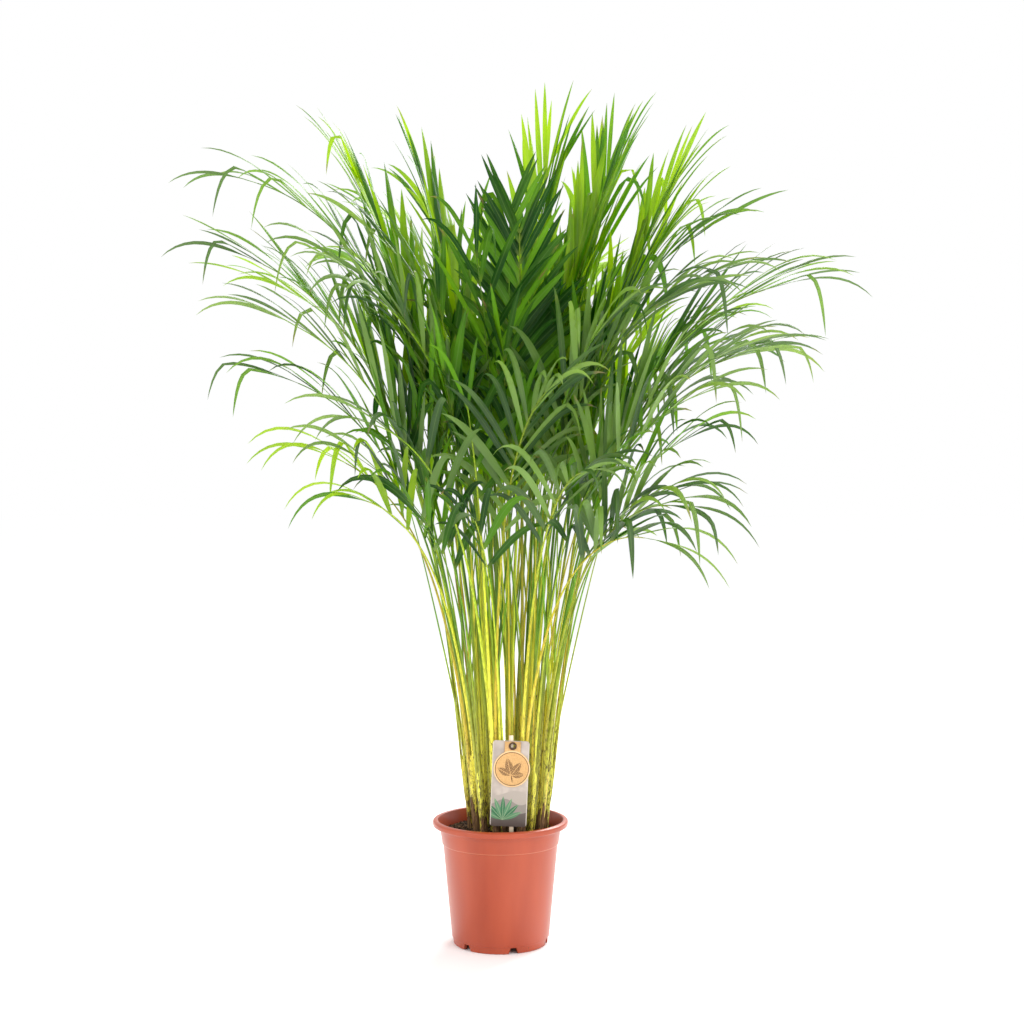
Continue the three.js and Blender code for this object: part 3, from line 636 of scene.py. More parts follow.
# ---- The stems ----
# A stem is the rolled sheaths of its leaves, one in another, so it is fluted: each leaf's back runs down it
# as a rounded rib. It is yellow-green, striped and speckled with brown scurf, and brown at its foot.
def striped_green(name, roughness):
    """The finish of sheaths and stalks, which is greener with height. Patterns run lengthwise."""
    made, tree, shader = new_finish(name, Roughness=roughness, Specular_IOR_Level=0.35)
    spot = place_of(tree)
    height = xyz(tree, spot)["Z"]
    # Each stalk has its own tone, from gold to green, that drifts slowly along it.
    own = xyz(tree, node(tree, "TexCoord").outputs["UV"])["Y"]
    drift = noisy(tree, spot, 14)
    drifting = maths(tree, "MULTIPLY_ADD", drift, 0.5, own)
    gold, lime, green = (0.64, 0.44, 0.03), (0.57, 0.62, 0.035), (0.14, 0.31, 0.014)
    tone = ramp(tree, drifting, (0.28, gold), (0.58, lime), (0.95, green))
    # Higher up the stalks are green.
    up = ranged(tree, height, 0.35, 0.75, 0.0, 0.85)
    greener = blend(tree, up, tone, (0.12, 0.28, 0.008))
    # Low down they are straw-gold.
    low = ranged(tree, height, 0.45, 0.25, 0.0, 0.55)
    golden = blend(tree, low, greener, (0.86, 0.72, 0.11))
    # Fine lengthwise stripes.
    stripe = noisy(tree, spot, (900, 900, 9))
    pale = ranged(tree, stripe, 0.35, 0.65, 0.6, 1.25)
    # Some stalks are darker than others.
    shade = maths(tree, "FRACT", maths(tree, "MULTIPLY", own, 7.3))
    light = maths(tree, "MULTIPLY", pale, ranged(tree, shade, 0.0, 1.0, 0.62, 1.5))
    striped = node(tree, "VectorMath", {0: golden, "Scale": light}, operation="SCALE").outputs[0]
    # Brown scurf: specks that thin out with height, and a brown foot.
    grain = noisy(tree, spot, (420, 420, 150), 3, 0.7)
    amount = maths(tree, "ADD", grain, ranged(tree, height, 0.42, 0.18, -0.06, 0.06))
    speck = ranged(tree, amount, 0.64, 0.70, 0.0, 0.5)
    scurfy = blend(tree, speck, striped, (0.22, 0.10, 0.03))
    foot = maths(tree, "ADD", grain, maths(tree, "MULTIPLY_ADD", drift, 0.4, height))
    browned = ranged(tree, foot, 0.94, 0.80, 0.0, 0.9)
    brown = blend(tree, browned, scurfy, (0.06, 0.032, 0.016))
    tree.links.new(brown, shader.inputs["Base Color"])
    raised(tree, shader, stripe, 0.25, 0.5 * MM)
    return made


sheath_finish = striped_green("leaf_sheath", 0.42)
core, core_faces = rod_blank(18, 23)
flute, flute_faces = rod_blank(10, 15)


def sheath_radius(share):
    """The stem's radius in mm: bare at the foot, wider at the mouth, drawn in at the very top."""
    return mix(4.6, 5.8, max(0, share) ** 1.4) * (1 - 0.4 * max(0, (share - 0.86) / 0.14) ** 2)


def toned(rod, faces, seed):
    """The UVs of a rod: how far along it is, and its own tone from gold to green."""
    return np.array([(rod[i, 2], vary(seed)) for face in faces for i in face])


# Old sheaths dry to brown paper and tear into points. One flat strip is made and wrapped round each foot.
bpy.ops.mesh.primitive_grid_add(x_subdivisions=9, y_subdivisions=9, size=1)
bpy.ops.object.modifier_add(type="SOLIDIFY")
bpy.context.object.modifiers["Solidify"].thickness = 1
bpy.context.object.modifiers["Solidify"].offset = 0
bpy.ops.object.modifier_apply(modifier="Solidify")
strip, strip_faces = blank_of(bpy.context.object)
strip_uv = np.array([(strip[i, 0] + 0.5, strip[i, 1] + 0.5) for face in strip_faces for i in face])

paper_finish = mottled(
    "dry_sheath", (1100, 1100, 14), 2, (0.34, (0.045, 0.022, 0.011)), (0.66, (0.30, 0.18, 0.085)),
    relief=(0.6, 0.5 * MM), Roughness=0.85, Specular_IOR_Level=0.2,
)
torn = random.Random(3)
for s, stem in enumerate(stems):
    total = stem["height"] + STEM_DEPTH * MM
    side = stem["axis"].cross(Vector((0, 1, 0))).normalized()
    other = stem["axis"].cross(side)
    frame_of = np.array([side, other, stem["axis"]])
    along = core[:, 2] * total - STEM_DEPTH * MM
    share = along / stem["height"]
    radius = np.array([sheath_radius(v) for v in share]) * stem["girth"] * MM
    swell = 1 + 0.05 * np.sin(along / (19 * MM) + s)
    local = np.stack([core[:, 0] * radius * swell, core[:, 1] * radius * swell, along], axis=1)
    parts = [(local @ frame_of + np.array(stem["ground"]), core_faces, toned(core, core_faces, s * 1.7), 0)]
    for k, frond in enumerate(stem["fronds"]):
        # The back of each leaf, from where it parts from the stem down to where it merges with it.
        lowest = mix(0.1, 0.5, vary(s + k * 0.7)) * stem["height"]
        highest = stem["height"] + 4 * MM
        down = flute[:, 2]
        along = mix(lowest, highest, down)
        out = mix(0.62, 1.0, down)
        swollen = np.sin(np.clip(down * 3.2, 0, 1) * math.pi / 2) ** 0.7
        radius = 3.0 * swollen * stem["girth"] * MM + 0.05 * MM
        ring = np.array(frond["ring"])
        base = np.array(stem["ground"]) + along[:, None] * np.array(stem["axis"]) + out[:, None] * ring
        points = base + flute[:, :1] * radius[:, None] * frame_of[0]
        points = points + flute[:, 1:2] * radius[:, None] * frame_of[1]
        parts.append((points, flute_faces, toned(flute, flute_faces, frond["seed"]), 0))
    for k in range(3 if stem["girth"] == 1 else 1):
        rise = torn.uniform(26, 80) * (0.62 if k else 1)
        turn, span = torn.uniform(0, 6.28), torn.uniform(1.6, 3.2)
        flare, lean = torn.uniform(0.2, 1.8), torn.uniform(-0.5, 0.5)
        up = strip[:, 1] + 0.5
        reach = (1 - up ** torn.uniform(1.5, 4)) * (1 + 0.25 * np.sin(up * 17 + k))
        angle = turn + strip[:, 0] * span * reach + lean * up
        radius = (4.9 + 0.5 * k) * stem["girth"] + 0.35 + flare * up**2 + 0.3 * strip[:, 2]
        radius = radius + 0.25 * np.sin(strip[:, 0] * 13 + up * 5)
        along = (up * rise - 7) * MM
        points = along[:, None] * frame_of[2] + np.array(stem["ground"])
        points = points + (np.cos(angle) * radius * MM)[:, None] * frame_of[0]
        points = points + (np.sin(angle) * radius * MM)[:, None] * frame_of[1]
        parts.append((points, strip_faces, strip_uv, 1))
    piece = gathered(f"stem_sheaths_{s + 1:02d}", parts, [sheath_finish, paper_finish])
    smooth(60)
    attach(piece, "root")
    if stem["girth"] == 1:
        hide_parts(f"stem_{s + 1:02d}")


# ---- The fronds ----
# A frond is one leaf: a smooth stalk that thins into the rib, and two rows of narrow leaflets, each folded
# along its middle like a low roof. It grew as one. Old fronds are dark, young ones fresh, and all let light
# through. Those that lean to the back take the fresh finish, whose paler green is partly painted light from
# behind them.
RIB_STEPS = 60
LEAFLET_STEPS = 12
LEAFLET_WIDTH = 12.5 * MM
LEAFLET_SPACING = 19 * MM
LEAFLET_FOLD = 1.8 * MM
LEAFLET_THICK = 0.5 * MM
SPARSE = (9, 10, 19, 20, 34, 37)  # fronds with few leaflets, by their number
FEATHERED = (38, 41)  # dark fronds in the middle, whose leaflets stand wide open like a feather's
YOUNG = (17, 18)  # young fronds among the old ones at the front
OUTSIDE = 9  # what a leaflet past the part's box counts, against 1 for each face that crosses another


def rib_of(frond):
    """The line of a frond's stalk and rib, as evenly spaced points with their frames."""
    length, seed = frond["length"], frond["seed"]
    sway = math.radians(spread(seed + 0.1, 9))
    roll = math.radians(spread(seed + 0.2, 34))
    point = frond["foot"].copy()
    rib = []
    for i in range(RIB_STEPS + 1):
        t = i / RIB_STEPS
        turn = frond["azimuth"] + sway * t * t
        own = heading(mix(frond["lean"], frond["tip"], t**3), turn)
        share = min(1, max(0, (t * length - SOCKET_DEPTH * MM) / (0.25 * length)))
        along = frond["axis"].lerp(own, share * (2 - share)).normalized()
        up = along.cross(Vector((-math.sin(turn), math.cos(turn), 0))).normalized()
        side = up.cross(along)
        twist = roll * max(0, t - 0.4)
        turned_side = side * math.cos(twist) + up * math.sin(twist)
        turned_up = up * math.cos(twist) - side * math.sin(twist)
        rib.append((point.copy(), along, turned_side, turned_up))
        point += along * length / RIB_STEPS
    return rib


def bare_share(length):
    """How much of a frond is bare stalk. Short fronds are young leaves with few leaflets."""
    return 0.43 + 0.75 * max(0, 1 - length / (700 * MM))


def on_rib(rib, t):
    place = min(RIB_STEPS - 1e-6, max(0, t * RIB_STEPS))
    i = int(place)
    return [a.lerp(b, place - i) for a, b in zip(rib[i], rib[i + 1])]


def stalk_radius(t):
    """Thick where it leaves the sheath, slender at the tip."""
    return mix(2.9, 0.75, min(1, t) ** 0.7) * MM


def outline(u):
    """A leaflet's width along its length: drawn in at the root, then a long point."""
    return (0.35 + 2.6 * u) * (1 - u) ** 0.9 / 0.88


# The blank of a leaflet: a four-cornered rod. Its corners become the edges and the fold above and below.
blade, blade_faces = rod_blank(4, LEAFLET_STEPS - 1)
tips = np.where(blade[:, 2] > 0.999)[0]
keep = {int(i): int(tips[0]) for i in tips}
blade_faces = [list(dict.fromkeys(keep.get(i, i) for i in face)) for face in blade_faces]
blade_faces = [face for face in blade_faces if len(face) > 2]
used = sorted({i for face in blade_faces for i in face})
blade_faces = [[used.index(i) for i in face] for face in blade_faces]
blade = blade[used]
blade_step = np.rint(blade[:, 2] * LEAFLET_STEPS).astype(int)
across_share, fold_share = blade[:, 1], blade[:, 0]
under = [float(np.mean(blade[face][:, 0]) < 0) for face in blade_faces]
blade_uv = np.array([
    (blade[i, 2], 0.5 + 0.5 * blade[i, 1] + 2 * low) for face, low in zip(blade_faces, under) for i in face
])
stalk, stalk_faces = rod_blank(8, RIB_STEPS - 1)
stalk_step = np.rint(stalk[:, 2] * RIB_STEPS).astype(int)


def leaflet_points(rib, plan):
    """The corners of one leaflet, bent along its own line. plan says where it grows and how it hangs."""
    root, along, side, up = on_rib(rib, plan["t"])
    hand, rise, splay = plan["hand"], plan["rise"], plan["splay"]
    out = side * hand * math.cos(rise) + up * math.sin(rise)
    first = along * math.cos(splay) + out * math.sin(splay)
    level_share = math.hypot(first.x, first.y)
    point = root + side * hand * stalk_radius(plan["t"]) * 0.4
    places, crosses, lifts, halves = [], [], [], []
    for i in range(LEAFLET_STEPS + 1):
        u = i / LEAFLET_STEPS
        fall = plan["droop"] * level_share * u**2.4 + plan["kink"] * max(0, u - plan["kink_at"]) * 9
        direction = (first - Vector((0, 0, fall))).normalized()
        level = (along - direction * along.dot(direction)).normalized()
        lift = direction.cross(level) * -hand
        pitch = plan["pitch"] * (0.4 + 0.6 * u)
        cross = level * math.cos(pitch) - lift * math.sin(pitch)
        places.append(point.copy())
        crosses.append(cross)
        lifts.append(lift * math.cos(pitch) + level * math.sin(pitch))
        halves.append(plan["width"] * outline(u) / 2)
        point += direction * plan["length"] / LEAFLET_STEPS
    places, crosses, lifts, halves = map(np.array, (places, crosses, lifts, halves))
    share = halves / (LEAFLET_WIDTH / 2)
    fold = share * LEAFLET_FOLD
    thick = LEAFLET_THICK * (0.4 + 0.6 * share)
    i = blade_step
    height = fold[i] * (1 - np.abs(across_share)) + thick[i] / 2 * fold_share
    return places[i] + crosses[i] * (across_share * halves[i])[:, None] + lifts[i] * height[:, None]


def tree_of(parts):
    """A search tree of many parts, each its points and its faces."""
    if len(parts) == 1:
        return BVHTree.FromPolygons(parts[0][0].tolist(), parts[0][1])
    starts = np.cumsum([0] + [len(points) for points, _ in parts])
    faces = [[start + i for i in face] for start, (_, own) in zip(starts, parts) for face in own]
    return BVHTree.FromPolygons(np.concatenate([points for points, _ in parts]).tolist(), faces)


for frond in fronds:
    frond["rib"] = rib_of(frond)
    # The stalk is round with a shallow groove on top.
    rib = [np.array(part) for part in zip(*frond["rib"])]
    i = stalk_step
    radius = np.array([stalk_radius(k / RIB_STEPS) for k in i]) * mix(1, frond["girth"], 0.8)
    high = np.where(stalk[:, 1] > 0.9, 0.62, stalk[:, 1])
    across = rib[2][i] * (stalk[:, 0] * radius)[:, None]
    frond["stalk"] = rib[0][i] + across + rib[3][i] * (high * radius)[:, None]
    frond["blades"] = []

lowest_corner, highest_corner = (np.array(corner) for corner in cad_box)
blade_outer = [face for face in blade_faces if all(blade_step[i] > 0 for i in face)]
draw = random.Random(21)
for n, frond in enumerate(fronds):
    length = frond["length"]
    to_right, to_back = math.cos(frond["azimuth"]), math.sin(frond["azimuth"])
    level = min(1, max(0, (math.degrees(frond["tip"]) - 25) / 30))  # 0 upright, 1 bent far over
    sideways = to_right * level
    if frond["girth"] == 1:
        # The stalks show at the front, left of the middle, where the leaflets start high.
        bare = bare_share(length) + (0.1 if to_back < -0.2 and to_right < 0.1 else 0)
    else:
        bare = 0.8 if to_back < -0.6 else 0.68
    # Leaflets stand open on a frond that faces the front or is short, and lie close on an upright one.
    faces_front = abs(frond["azimuth"] - 4.7) < 0.4
    openness = 46 if faces_front or length < 0.56 else mix(20, 34, level)
    tip_openness, scatter = 9, 1
    # They are slender on a frond that leans far over to a side. The left side is the thinner one.
    slender = mix(1, 0.7, abs(sideways))
    shortness = mix(0.82 if to_back < 0.2 else 1, 1, abs(sideways))
    spacing = LEAFLET_SPACING * (mix(1, 1.45, sideways) if sideways > 0 else mix(1, 2.3, -sideways))
    if n + 1 in SPARSE:
        spacing = LEAFLET_SPACING * 2.4
    if n + 1 in FEATHERED:
        bare, openness, tip_openness, scatter = 0.5, 52, 22, 0.35
        shortness, spacing = 0.66, 15 * MM
    rows = round((1 - bare) * length / spacing) + 1 if frond["leaflet"] else 0
    around = [(other["stalk"], stalk_faces) for other in fronds if other is not frond]
    around += [(blade_at, blade_faces) for other in fronds[:n] for blade_at in other["blades"]]
    around = tree_of(around)
    for row in range(rows):
        q = row / (rows - 1)
        for hand in (1, -1):
            jitter = draw.uniform(-0.25, 0.25) * LEAFLET_SPACING / length * (q < 1)
            longest = frond["leaflet"] * shortness * (0.75 + 0.8 * q - 0.8 * q * q)
            own = {
                "hand": hand,
                "t": mix(bare, 1 - 3 * MM / length, q) + jitter,
                "length": longest * draw.uniform(0.9, 1.1),
                "splay": math.radians(mix(openness, tip_openness, q**1.4) + draw.uniform(-7, 7) * scatter),
                "rise": math.radians(mix(34, 10, q) * scatter + draw.uniform(-12, 12) * scatter),
                "droop": (0.3 + 1.3 * draw.random()) * scatter + 3.2 * max(0, 1 - length / (720 * MM)),
                "kink": draw.uniform(0.8, 2.4) if draw.random() < 0.1 else 0,
                "kink_at": draw.uniform(0.35, 0.6),
                "pitch": math.radians(draw.uniform(4, 26) + (1 - level) * draw.uniform(0, 34)) * scatter,
                "width": LEAFLET_WIDTH * slender * mix(1, 0.62, q**2.5) * draw.uniform(0.75, 1.12),
            }
            near = None
            if around and frond["blades"]:
                near = tree_of([(blade_at, blade_outer) for blade_at in frond["blades"][-5:]])
            best = None
            for attempt in range(10 if around else 3):
                reach = attempt / 12
                tried = dict(
                    own,
                    length=own["length"] * (1 - 0.25 * reach * draw.random()),
                    splay=own["splay"] + math.radians(draw.uniform(-20, 20)) * reach,
                    rise=own["rise"] + math.radians(draw.uniform(-34, 34)) * reach,
                    pitch=own["pitch"] + math.radians(draw.uniform(-40, 30)) * reach,
                )
                points = leaflet_points(frond["rib"], tried)
                count = OUTSIDE * int((points < lowest_corner).any() or (points > highest_corner).any())
                if around:
                    count += len(tree_of([(points, blade_faces)]).overlap(around))
                    count += len(tree_of([(points, blade_outer)]).overlap(near)) if near else 0
                if best is None or count < best[0]:
                    best = (count, points)
                if not count:
                    break
            # In the airy outer fronds a leaflet that finds no free place is left out.
            if best[0] < (1 if abs(sideways) > 0.35 else OUTSIDE):
                frond["blades"].append(best[1])


def blade_finish(name, dark, light, shine_through, gloss, thin):
    """Parallel veins beside a paler midrib, a tone that drifts from leaf to leaf, and light from behind."""
    made, tree, shader = new_finish(name, Roughness=0.36, Specular_IOR_Level=gloss)
    spot = place_of(tree)
    laid = xyz(tree, node(tree, "TexCoord").outputs["UV"])
    # The whole part of u / 2 is the leaflet's own tone, from 0 to 5.
    own = maths(tree, "FLOOR", maths(tree, "MULTIPLY", laid["X"], 0.5))
    along = maths(tree, "MODULO", laid["X"], 2.0)
    drifting = ranged(tree, noisy(tree, spot, 8), 0.3, 0.7, 0.2, 0.8)
    mixed = maths(tree, "ADD", ranged(tree, own, 0.0, 5.0, -0.5, 0.45), drifting)
    tone = ramp(tree, mixed, (0.1, dark), (0.9, light))
    # The underside is paler and greyer.
    below = blend(tree, maths(tree, "GREATER_THAN", laid["Y"], 1.5), (1, 1, 1), (1.5, 1.35, 1.9))
    two_sided = blend(tree, 1.0, tone, below, "MULTIPLY")
    flat = maths(tree, "MODULO", laid["Y"], 2.0)
    vein = maths(tree, "SINE", maths(tree, "MULTIPLY", flat, 75.4))
    veined = ranged(tree, vein, -1.0, 1.0, 0.86, 1.12)
    lined = node(tree, "VectorMath", {0: two_sided, "Scale": veined}, operation="SCALE").outputs[0]
    midrib = maths(tree, "MULTIPLY", maths(tree, "COMPARE", flat, 0.5, 0.035), 0.5)
    ribbed = blend(tree, midrib, lined, (0.26, 0.42, 0.09))
    base = ranged(tree, along, 0.0, 0.1, 0.6, 0.0)
    rooted = blend(tree, base, ribbed, (0.30, 0.40, 0.05))
    # The tips are dry here and there.
    dry = ranged(tree, maths(tree, "ADD", along, noisy(tree, spot, 30)), 1.48, 1.6, 0.0, 0.9)
    aged = blend(tree, dry, rooted, (0.32, 0.20, 0.07))
    # A painted light: the leaflets that hang far out from the middle are painted paler, for the light that
    # falls on them there.
    flat_spot = node(tree, "VectorMath", {0: spot, 1: (1, 1, 0)}, operation="MULTIPLY").outputs[0]
    away = node(tree, "VectorMath", {0: flat_spot}, operation="LENGTH").outputs["Value"]
    pale = ranged(tree, away, 0.22, 0.50, 0.0, 0.55)
    outer_painted_light = blend(tree, pale, aged, (0.36, 0.47, 0.20))
    tree.links.new(outer_painted_light, shader.inputs["Base Color"])
    groove = raised(tree, shader, vein, 0.25, 0.15 * MM)
    lit = blend(tree, mixed, shine_through, (0.70, 0.86, 0.03))
    through = node(tree, "BsdfTranslucent", {"Color": lit, "Normal": groove})
    blended = node(tree, "MixShader", {0: thin, 1: shader.outputs[0], 2: through.outputs[0]})
    tree.links.new(blended.outputs[0], tree.nodes["Material Output"].inputs["Surface"])
    return made


stalk_finish = striped_green("leaf_stalk", 0.38)
old_blade = blade_finish(
    "old_blade", (0.006, 0.045, 0.001), (0.095, 0.30, 0.004), (0.14, 0.45, 0.002), gloss=0.3, thin=0.36
)
# A greyer green: a painted sheen, the white glint off the fronds that bend over at the front, laid into
# their colour.
sheen_painted_blade = blade_finish(
    "sheen_painted_blade", (0.014, 0.056, 0.004), (0.16, 0.31, 0.045), (0.24, 0.52, 0.012), gloss=0.8, thin=0.38
)
# The fresh finish is a pale lime: partly young leaves' own green, partly painted light from behind.
backlit_young_blade = blade_finish(
    "backlit_young_blade", (0.016, 0.10, 0.001), (0.38, 0.60, 0.008), (0.46, 0.78, 0.003), gloss=0.45, thin=0.5
)
tones = random.Random(5)
for n, frond in enumerate(fronds):
    to_back = math.sin(frond["azimuth"])
    # Fronds that lean to the back take the fresh finish: partly they are young, partly their paler green is
    # painted light shining through them from behind.
    old = to_back < 0.2
    if n + 1 in FEATHERED:
        finish = old_blade
    elif n + 1 in YOUNG or not old:
        finish = backlit_young_blade
    else:
        # Fronds that bend far over at the front take the greyer green, a painted sheen.
        finish = sheen_painted_blade if to_back < -0.2 and frond["tip"] > 0.9 else old_blade
    parts = [(frond["stalk"], stalk_faces, toned(stalk, stalk_faces, frond["seed"]), 0)]
    for blade_at in frond["blades"]:
        tone_uv = blade_uv + np.array([2 * tones.randrange(6), 0])
        parts.append((blade_at, blade_faces, tone_uv, 1))
    piece = gathered(f"palm_frond_{n + 1:02d}", parts, [stalk_finish, finish])
    smooth(40)
    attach(piece, "root")
    if frond["girth"] == 1:
        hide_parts(f"frond_{n + 1:02d}")


# ---- The label stick ----
# A flat splint of pale wood, pointed at its foot and pushed into the peat at the front of the clump. The
# label is glued to its front.
BOARD_AT = Vector((13, -66, 236)) * MM
BOARD_TURN = math.radians(2.3)
STICK_TOP = 302
STICK_FOOT = 95
STICK_POINT = 14


stick_middle = (*STICK_PLACE, (STICK_TOP + STICK_FOOT) / 2)
stick = block("wood_splint", stick_middle, (6, 1.8, STICK_TOP - STICK_FOOT))
to_mode("EDIT")
bpy.ops.mesh.select_all(action="SELECT")
shoulder = Vector((0, 0, STICK_FOOT + STICK_POINT)) * MM
bpy.ops.mesh.bisect(plane_co=shoulder, plane_no=(0, 0, 1))
bpy.ops.mesh.select_all(action="DESELECT")
to_mode("OBJECT")
for corner in stick.data.vertices:
    corner.select = corner.co.z < (STICK_FOOT + 1) * MM
to_mode("EDIT")
point = Vector((*STICK_PLACE, STICK_FOOT)) * MM
bpy.ops.transform.resize(value=(0.12, 0.6, 1), center_override=point)
to_mode("OBJECT")


def soften(piece, width):
    """Rounds the sharp edges of a piece a little."""
    only(piece)
    bpy.ops.object.modifier_add(type="BEVEL")
    bevel = piece.modifiers["Bevel"]
    bevel.width = width
    bevel.segments = 2
    bevel.limit_method = "ANGLE"
    bevel.angle_limit = math.radians(50)
    bpy.ops.object.modifier_apply(modifier="Bevel")
    smooth(40)


soften(stick, 0.25 * MM)
splint, tree, shader = new_finish("pale_splint", Roughness=0.62, Specular_IOR_Level=0.35)
spot = place_of(tree)
grain = noisy(tree, spot, (1400, 1400, 22), 3)
tone = ramp(tree, grain, (0.3, (0.66, 0.49, 0.30)), (0.6, (0.88, 0.76, 0.58)))
# It is soaked dark where it goes into the peat.
soaked = ranged(tree, xyz(tree, spot)["Z"], 0.178, 0.166, 0.0, 0.7)
stained = blend(tree, soaked, tone, (0.12, 0.07, 0.035))
tree.links.new(stained, shader.inputs["Base Color"])
raised(tree, shader, grain, 0.3, 0.2 * MM)
stick.data.materials.append(splint)
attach(stick, "root")
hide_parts("label_stick")


# ---- The label ----
# A plate of thin glossy plastic with rounded corners, glued to the stick and printed on its front with a
# quiet picture of hills and leaves. A hole near its top takes the eyelet.
LABEL_SIZE = (50, 118)
LABEL_CORNER = 4
LABEL_THICK = 0.8
PIERCE = (2.2, 52)
PIERCE_RADIUS = 4.1


def on_board(piece):
    """Moves a piece that was made flat on the label's own axes to where the label hangs, and turns it."""
    set_in_place(piece)
    piece.rotation_euler = (0, BOARD_TURN, 0)
    piece.location = BOARD_AT
    set_in_place(piece)


def pierce(piece):
    """Cuts the eyelet's hole, in the label's own axes."""
    place = (PIERCE[0] * MM, 0, PIERCE[1] * MM)
    bpy.ops.mesh.primitive_cylinder_add(
        vertices=48, radius=PIERCE_RADIUS * MM, depth=12 * MM, location=place, rotation=(math.pi / 2, 0, 0)
    )
    cut_away(piece, [bpy.context.object])


label = block("printed_label", (0, -LABEL_THICK / 2, 0), (LABEL_SIZE[0], LABEL_THICK, LABEL_SIZE[1]))
select_long(label, 1, 0.1 * MM)
bpy.ops.mesh.bevel(offset=LABEL_CORNER * MM, segments=8)
to_mode("OBJECT")
pierce(label)
soften(label, 0.12 * MM)
on_board(label)


def board_place(tree):
    """Where a point is on the board, in mm: its separate X, across, Y, towards the back, and Z, up."""
    sockets = {"Vector": place_of(tree), "Location": BOARD_AT, "Scale": (MM, MM, MM)}
    sockets["Rotation"] = (0, BOARD_TURN, 0)
    mapped = node(tree, "Mapping", sockets, vector_type="TEXTURE").outputs["Vector"]
    return mapped, xyz(tree, mapped)


def leaf_mask(tree, mapped, root, turn, length, width):
    """1 inside a pointed leaf that grows from root, in mm, at an angle from upright, and 0 outside."""
    place = {"Vector": mapped, "Location": (root[0], 0, root[1]), "Rotation": (0, math.radians(turn), 0)}
    turned = node(tree, "Mapping", place, vector_type="TEXTURE").outputs["Vector"]
    own = xyz(tree, turned)
    along = ranged(tree, own["Z"], 0.0, length, 0.0, math.pi)
    reach = maths(tree, "MULTIPLY", maths(tree, "SINE", along), width / 2)
    side = maths(tree, "ABSOLUTE", own["X"])
    return maths(tree, "LESS_THAN", side, reach), side


print_finish, tree, shader = new_finish("printed_plastic", Roughness=0.34, Specular_IOR_Level=0.45)
mapped, at = board_place(tree)
cloud = noisy(tree, mapped, 0.06)
picture = ramp(tree, cloud, (0.35, (0.40, 0.335, 0.29)), (0.65, (0.54, 0.46, 0.40)))
HILLS = [  # the height of the ridge, its swell, its length and its start, then its colour
    (-13, 3.5, 9.0, 0.6, (0.42, 0.36, 0.31)),
    (-25, 4.0, 7.0, 2.4, (0.27, 0.235, 0.205)),
    (-40, 3.0, 11.0, 4.4, (0.115, 0.092, 0.080)),
]
for ridge, swell, stretch, start, colour in HILLS:
    turn = maths(tree, "MULTIPLY_ADD", at["X"], 1 / stretch, start)
    edge = maths(tree, "MULTIPLY_ADD", maths(tree, "SINE", turn), swell, ridge)
    picture = blend(tree, maths(tree, "LESS_THAN", at["Z"], edge), picture, colour)
for k in range(7):
    turn = -66 + 22 * k
    mask, side = leaf_mask(tree, mapped, (-8, -50), turn, 26 + 7 * math.cos(math.radians(turn)), 6.4)
    green = (0.035, 0.16, 0.065) if k % 2 else (0.10, 0.25, 0.12)
    picture = blend(tree, mask, picture, green)
    midrib = maths(tree, "MULTIPLY", mask, maths(tree, "LESS_THAN", side, 0.28))
    picture = blend(tree, midrib, picture, (0.30, 0.42, 0.24))
# A pale margin down both sides, and a plain back.
border = maths(tree, "GREATER_THAN", maths(tree, "ABSOLUTE", at["X"]), 23.9)
picture = blend(tree, border, picture, (0.62, 0.55, 0.48))
behind = maths(tree, "GREATER_THAN", at["Y"], -0.45)
picture = blend(tree, behind, picture, (0.74, 0.72, 0.68))
tree.links.new(picture, shader.inputs["Base Color"])
raised(tree, shader, noisy(tree, mapped, 0.05, 1), 0.4, 1.5 * MM)
label.data.materials.append(print_finish)
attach(label, "root")
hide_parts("label")


# ---- The card tag ----
# A disc of thick kraft card with a tab, which the eyelet holds in front of the label. A fine ring and a
# hatched sprig are stamped on it.
TAG_RADIUS = 25
TAG_MIDDLE = (2.2, 20.5)
TAG_FRONT = -2.2
TAG_THICK = 1
TAB_WIDTH = 22
TAB_TOP = 58

bpy.ops.mesh.primitive_cylinder_add(
    vertices=128, radius=TAG_RADIUS * MM, depth=TAG_THICK * MM, rotation=(math.pi / 2, 0, 0),
    location=(TAG_MIDDLE[0] * MM, (TAG_FRONT + TAG_THICK / 2) * MM, TAG_MIDDLE[1] * MM)
)
tag = bpy.context.object
tag.name = "kraft_tag"
set_in_place(tag)
tab_foot = TAG_MIDDLE[1] + 15
tab_middle = (TAG_MIDDLE[0], TAG_FRONT + TAG_THICK / 2, (TAB_TOP + tab_foot) / 2)
tab = block("tab", tab_middle, (TAB_WIDTH, TAG_THICK, TAB_TOP - tab_foot))
combine(tag, tab, "UNION")
pierce(tag)
soften(tag, 0.15 * MM)
on_board(tag)

kraft, tree, shader = new_finish("kraft_card", Roughness=0.82, Specular_IOR_Level=0.25)
mapped, at = board_place(tree)
pulp = noisy(tree, mapped, 0.5, 4)
tone = ramp(tree, pulp, (0.3, (0.60, 0.34, 0.135)), (0.7, (0.76, 0.46, 0.20)))
sockets = {"Vector": mapped, "Rotation": (0, 0.7, 0), "Scale": (0.5, 1, 2.6)}
fleck_at = node(tree, "Mapping", sockets).outputs["Vector"]
fleck = noisy(tree, fleck_at, 1.6, 3)
flecked = ranged(tree, fleck, 0.60, 0.68, 0.0, 0.35)
stamped = blend(tree, flecked, tone, (0.34, 0.18, 0.07))
across = maths(tree, "SUBTRACT", at["X"], TAG_MIDDLE[0])
upward = maths(tree, "SUBTRACT", at["Z"], TAG_MIDDLE[1])
squares = maths(tree, "MULTIPLY_ADD", across, across, maths(tree, "MULTIPLY", upward, upward))
away = maths(tree, "SQRT", squares)
ink = (0.075, 0.030, 0.018)
rim = maths(tree, "COMPARE", away, 24.2, 0.9)
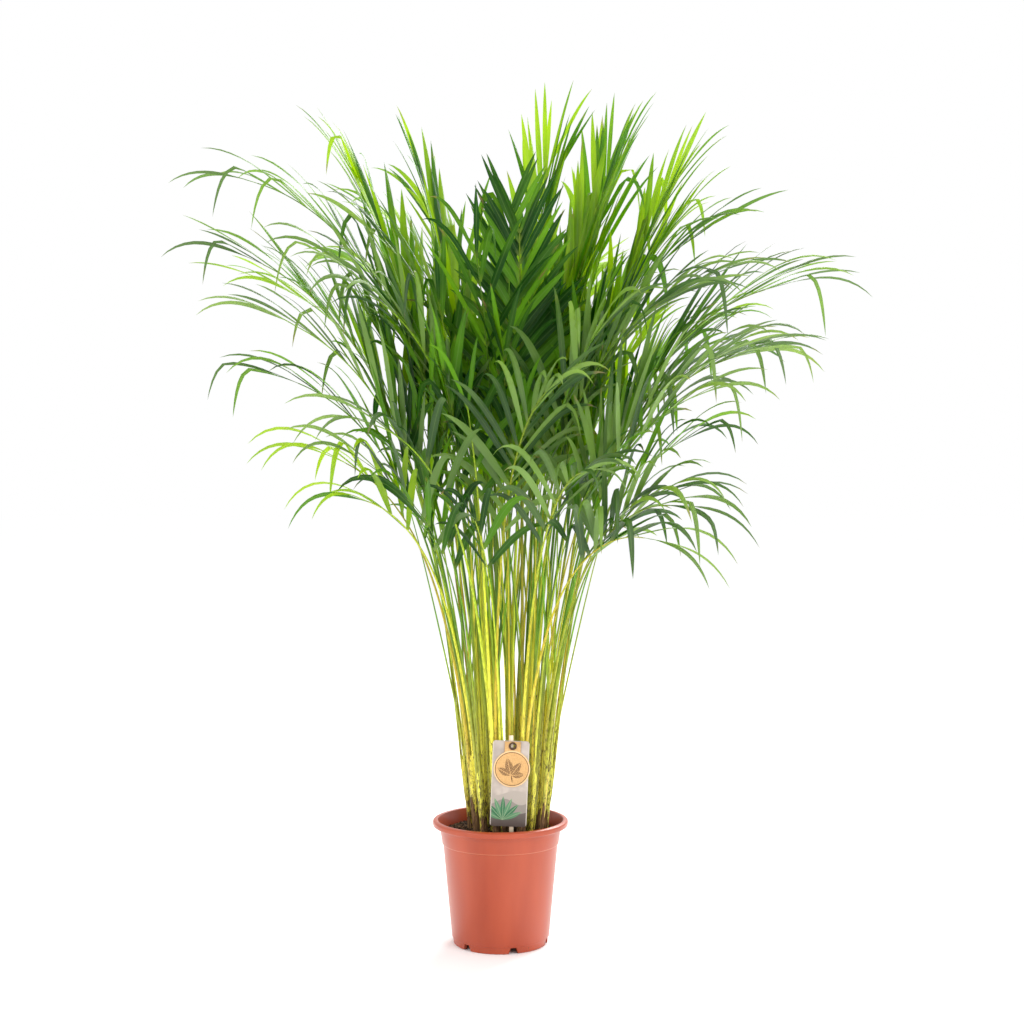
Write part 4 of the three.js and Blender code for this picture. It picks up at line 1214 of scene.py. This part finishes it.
stamped = blend(tree, rim, stamped, (0.84, 0.56, 0.30))
ring = maths(tree, "COMPARE", away, 22.7, 0.4)
stamped = blend(tree, ring, stamped, ink)
hatch = maths(tree, "SINE", maths(tree, "MULTIPLY", maths(tree, "ADD", across, upward), 4.6))
hatched = maths(tree, "GREATER_THAN", hatch, -0.35)
for turn, length, width in ((-62, 21, 9.5), (-14, 25, 10.5), (36, 23, 10), (84, 18, 8.5)):
    mask, side = leaf_mask(tree, mapped, (TAG_MIDDLE[0] - 1, TAG_MIDDLE[1] - 9), turn, length, width)
    inked = maths(tree, "MULTIPLY", hatched, maths(tree, "GREATER_THAN", side, 0.4))
    drawn = maths(tree, "MULTIPLY", mask, inked)
    stamped = blend(tree, drawn, stamped, ink)
stalk_line, _ = leaf_mask(tree, mapped, (TAG_MIDDLE[0] + 1.5, TAG_MIDDLE[1] - 19), -12, 11, 1.3)
stamped = blend(tree, stalk_line, stamped, ink)
facing_out = maths(tree, "GREATER_THAN", at["Y"], TAG_FRONT + 0.5)
stamped = blend(tree, facing_out, stamped, (0.66, 0.40, 0.17))
tree.links.new(stamped, shader.inputs["Base Color"])
raised(tree, shader, pulp, 0.4, 0.25 * MM)
tag.data.materials.append(kraft)
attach(tag, "root")
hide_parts("card_tag")


# ---- The eyelet ----
# A pressed metal ring, lacquered dark brown. Its barrel goes through the card and the label and holds them
# together.
EYELET_HOLE = 2.9
eyelet_rings = [(3.7, 0), (3.7, 2.6), (5.2, 2.6), (5.5, 2.75), *arc(4.7, 2.8, 0.85, 5, 130, 6)]
eyelet_rings += [(3.6, 3.3), (3.25, 2.95), (3.0, 2.5), (2.5, 2.3)]
eyelet = turned_solid("lacquered_eyelet", eyelet_rings, 48)
bpy.ops.mesh.primitive_cylinder_add(vertices=48, radius=EYELET_HOLE * MM, depth=20 * MM)
cut_away(eyelet, [bpy.context.object])
smooth(40)
eyelet.rotation_euler = (math.pi / 2, 0, 0)
eyelet.location = (PIERCE[0] * MM, 0, PIERCE[1] * MM)
on_board(eyelet)

lacquer = mottled(
    "brown_lacquer", 900, 3, (0.4, (0.055, 0.026, 0.016)), (0.75, (0.20, 0.115, 0.07)),
    Roughness=0.3, Metallic=0.6,
)
eyelet.data.materials.append(lacquer)
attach(eyelet, "root")
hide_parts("eyelet")
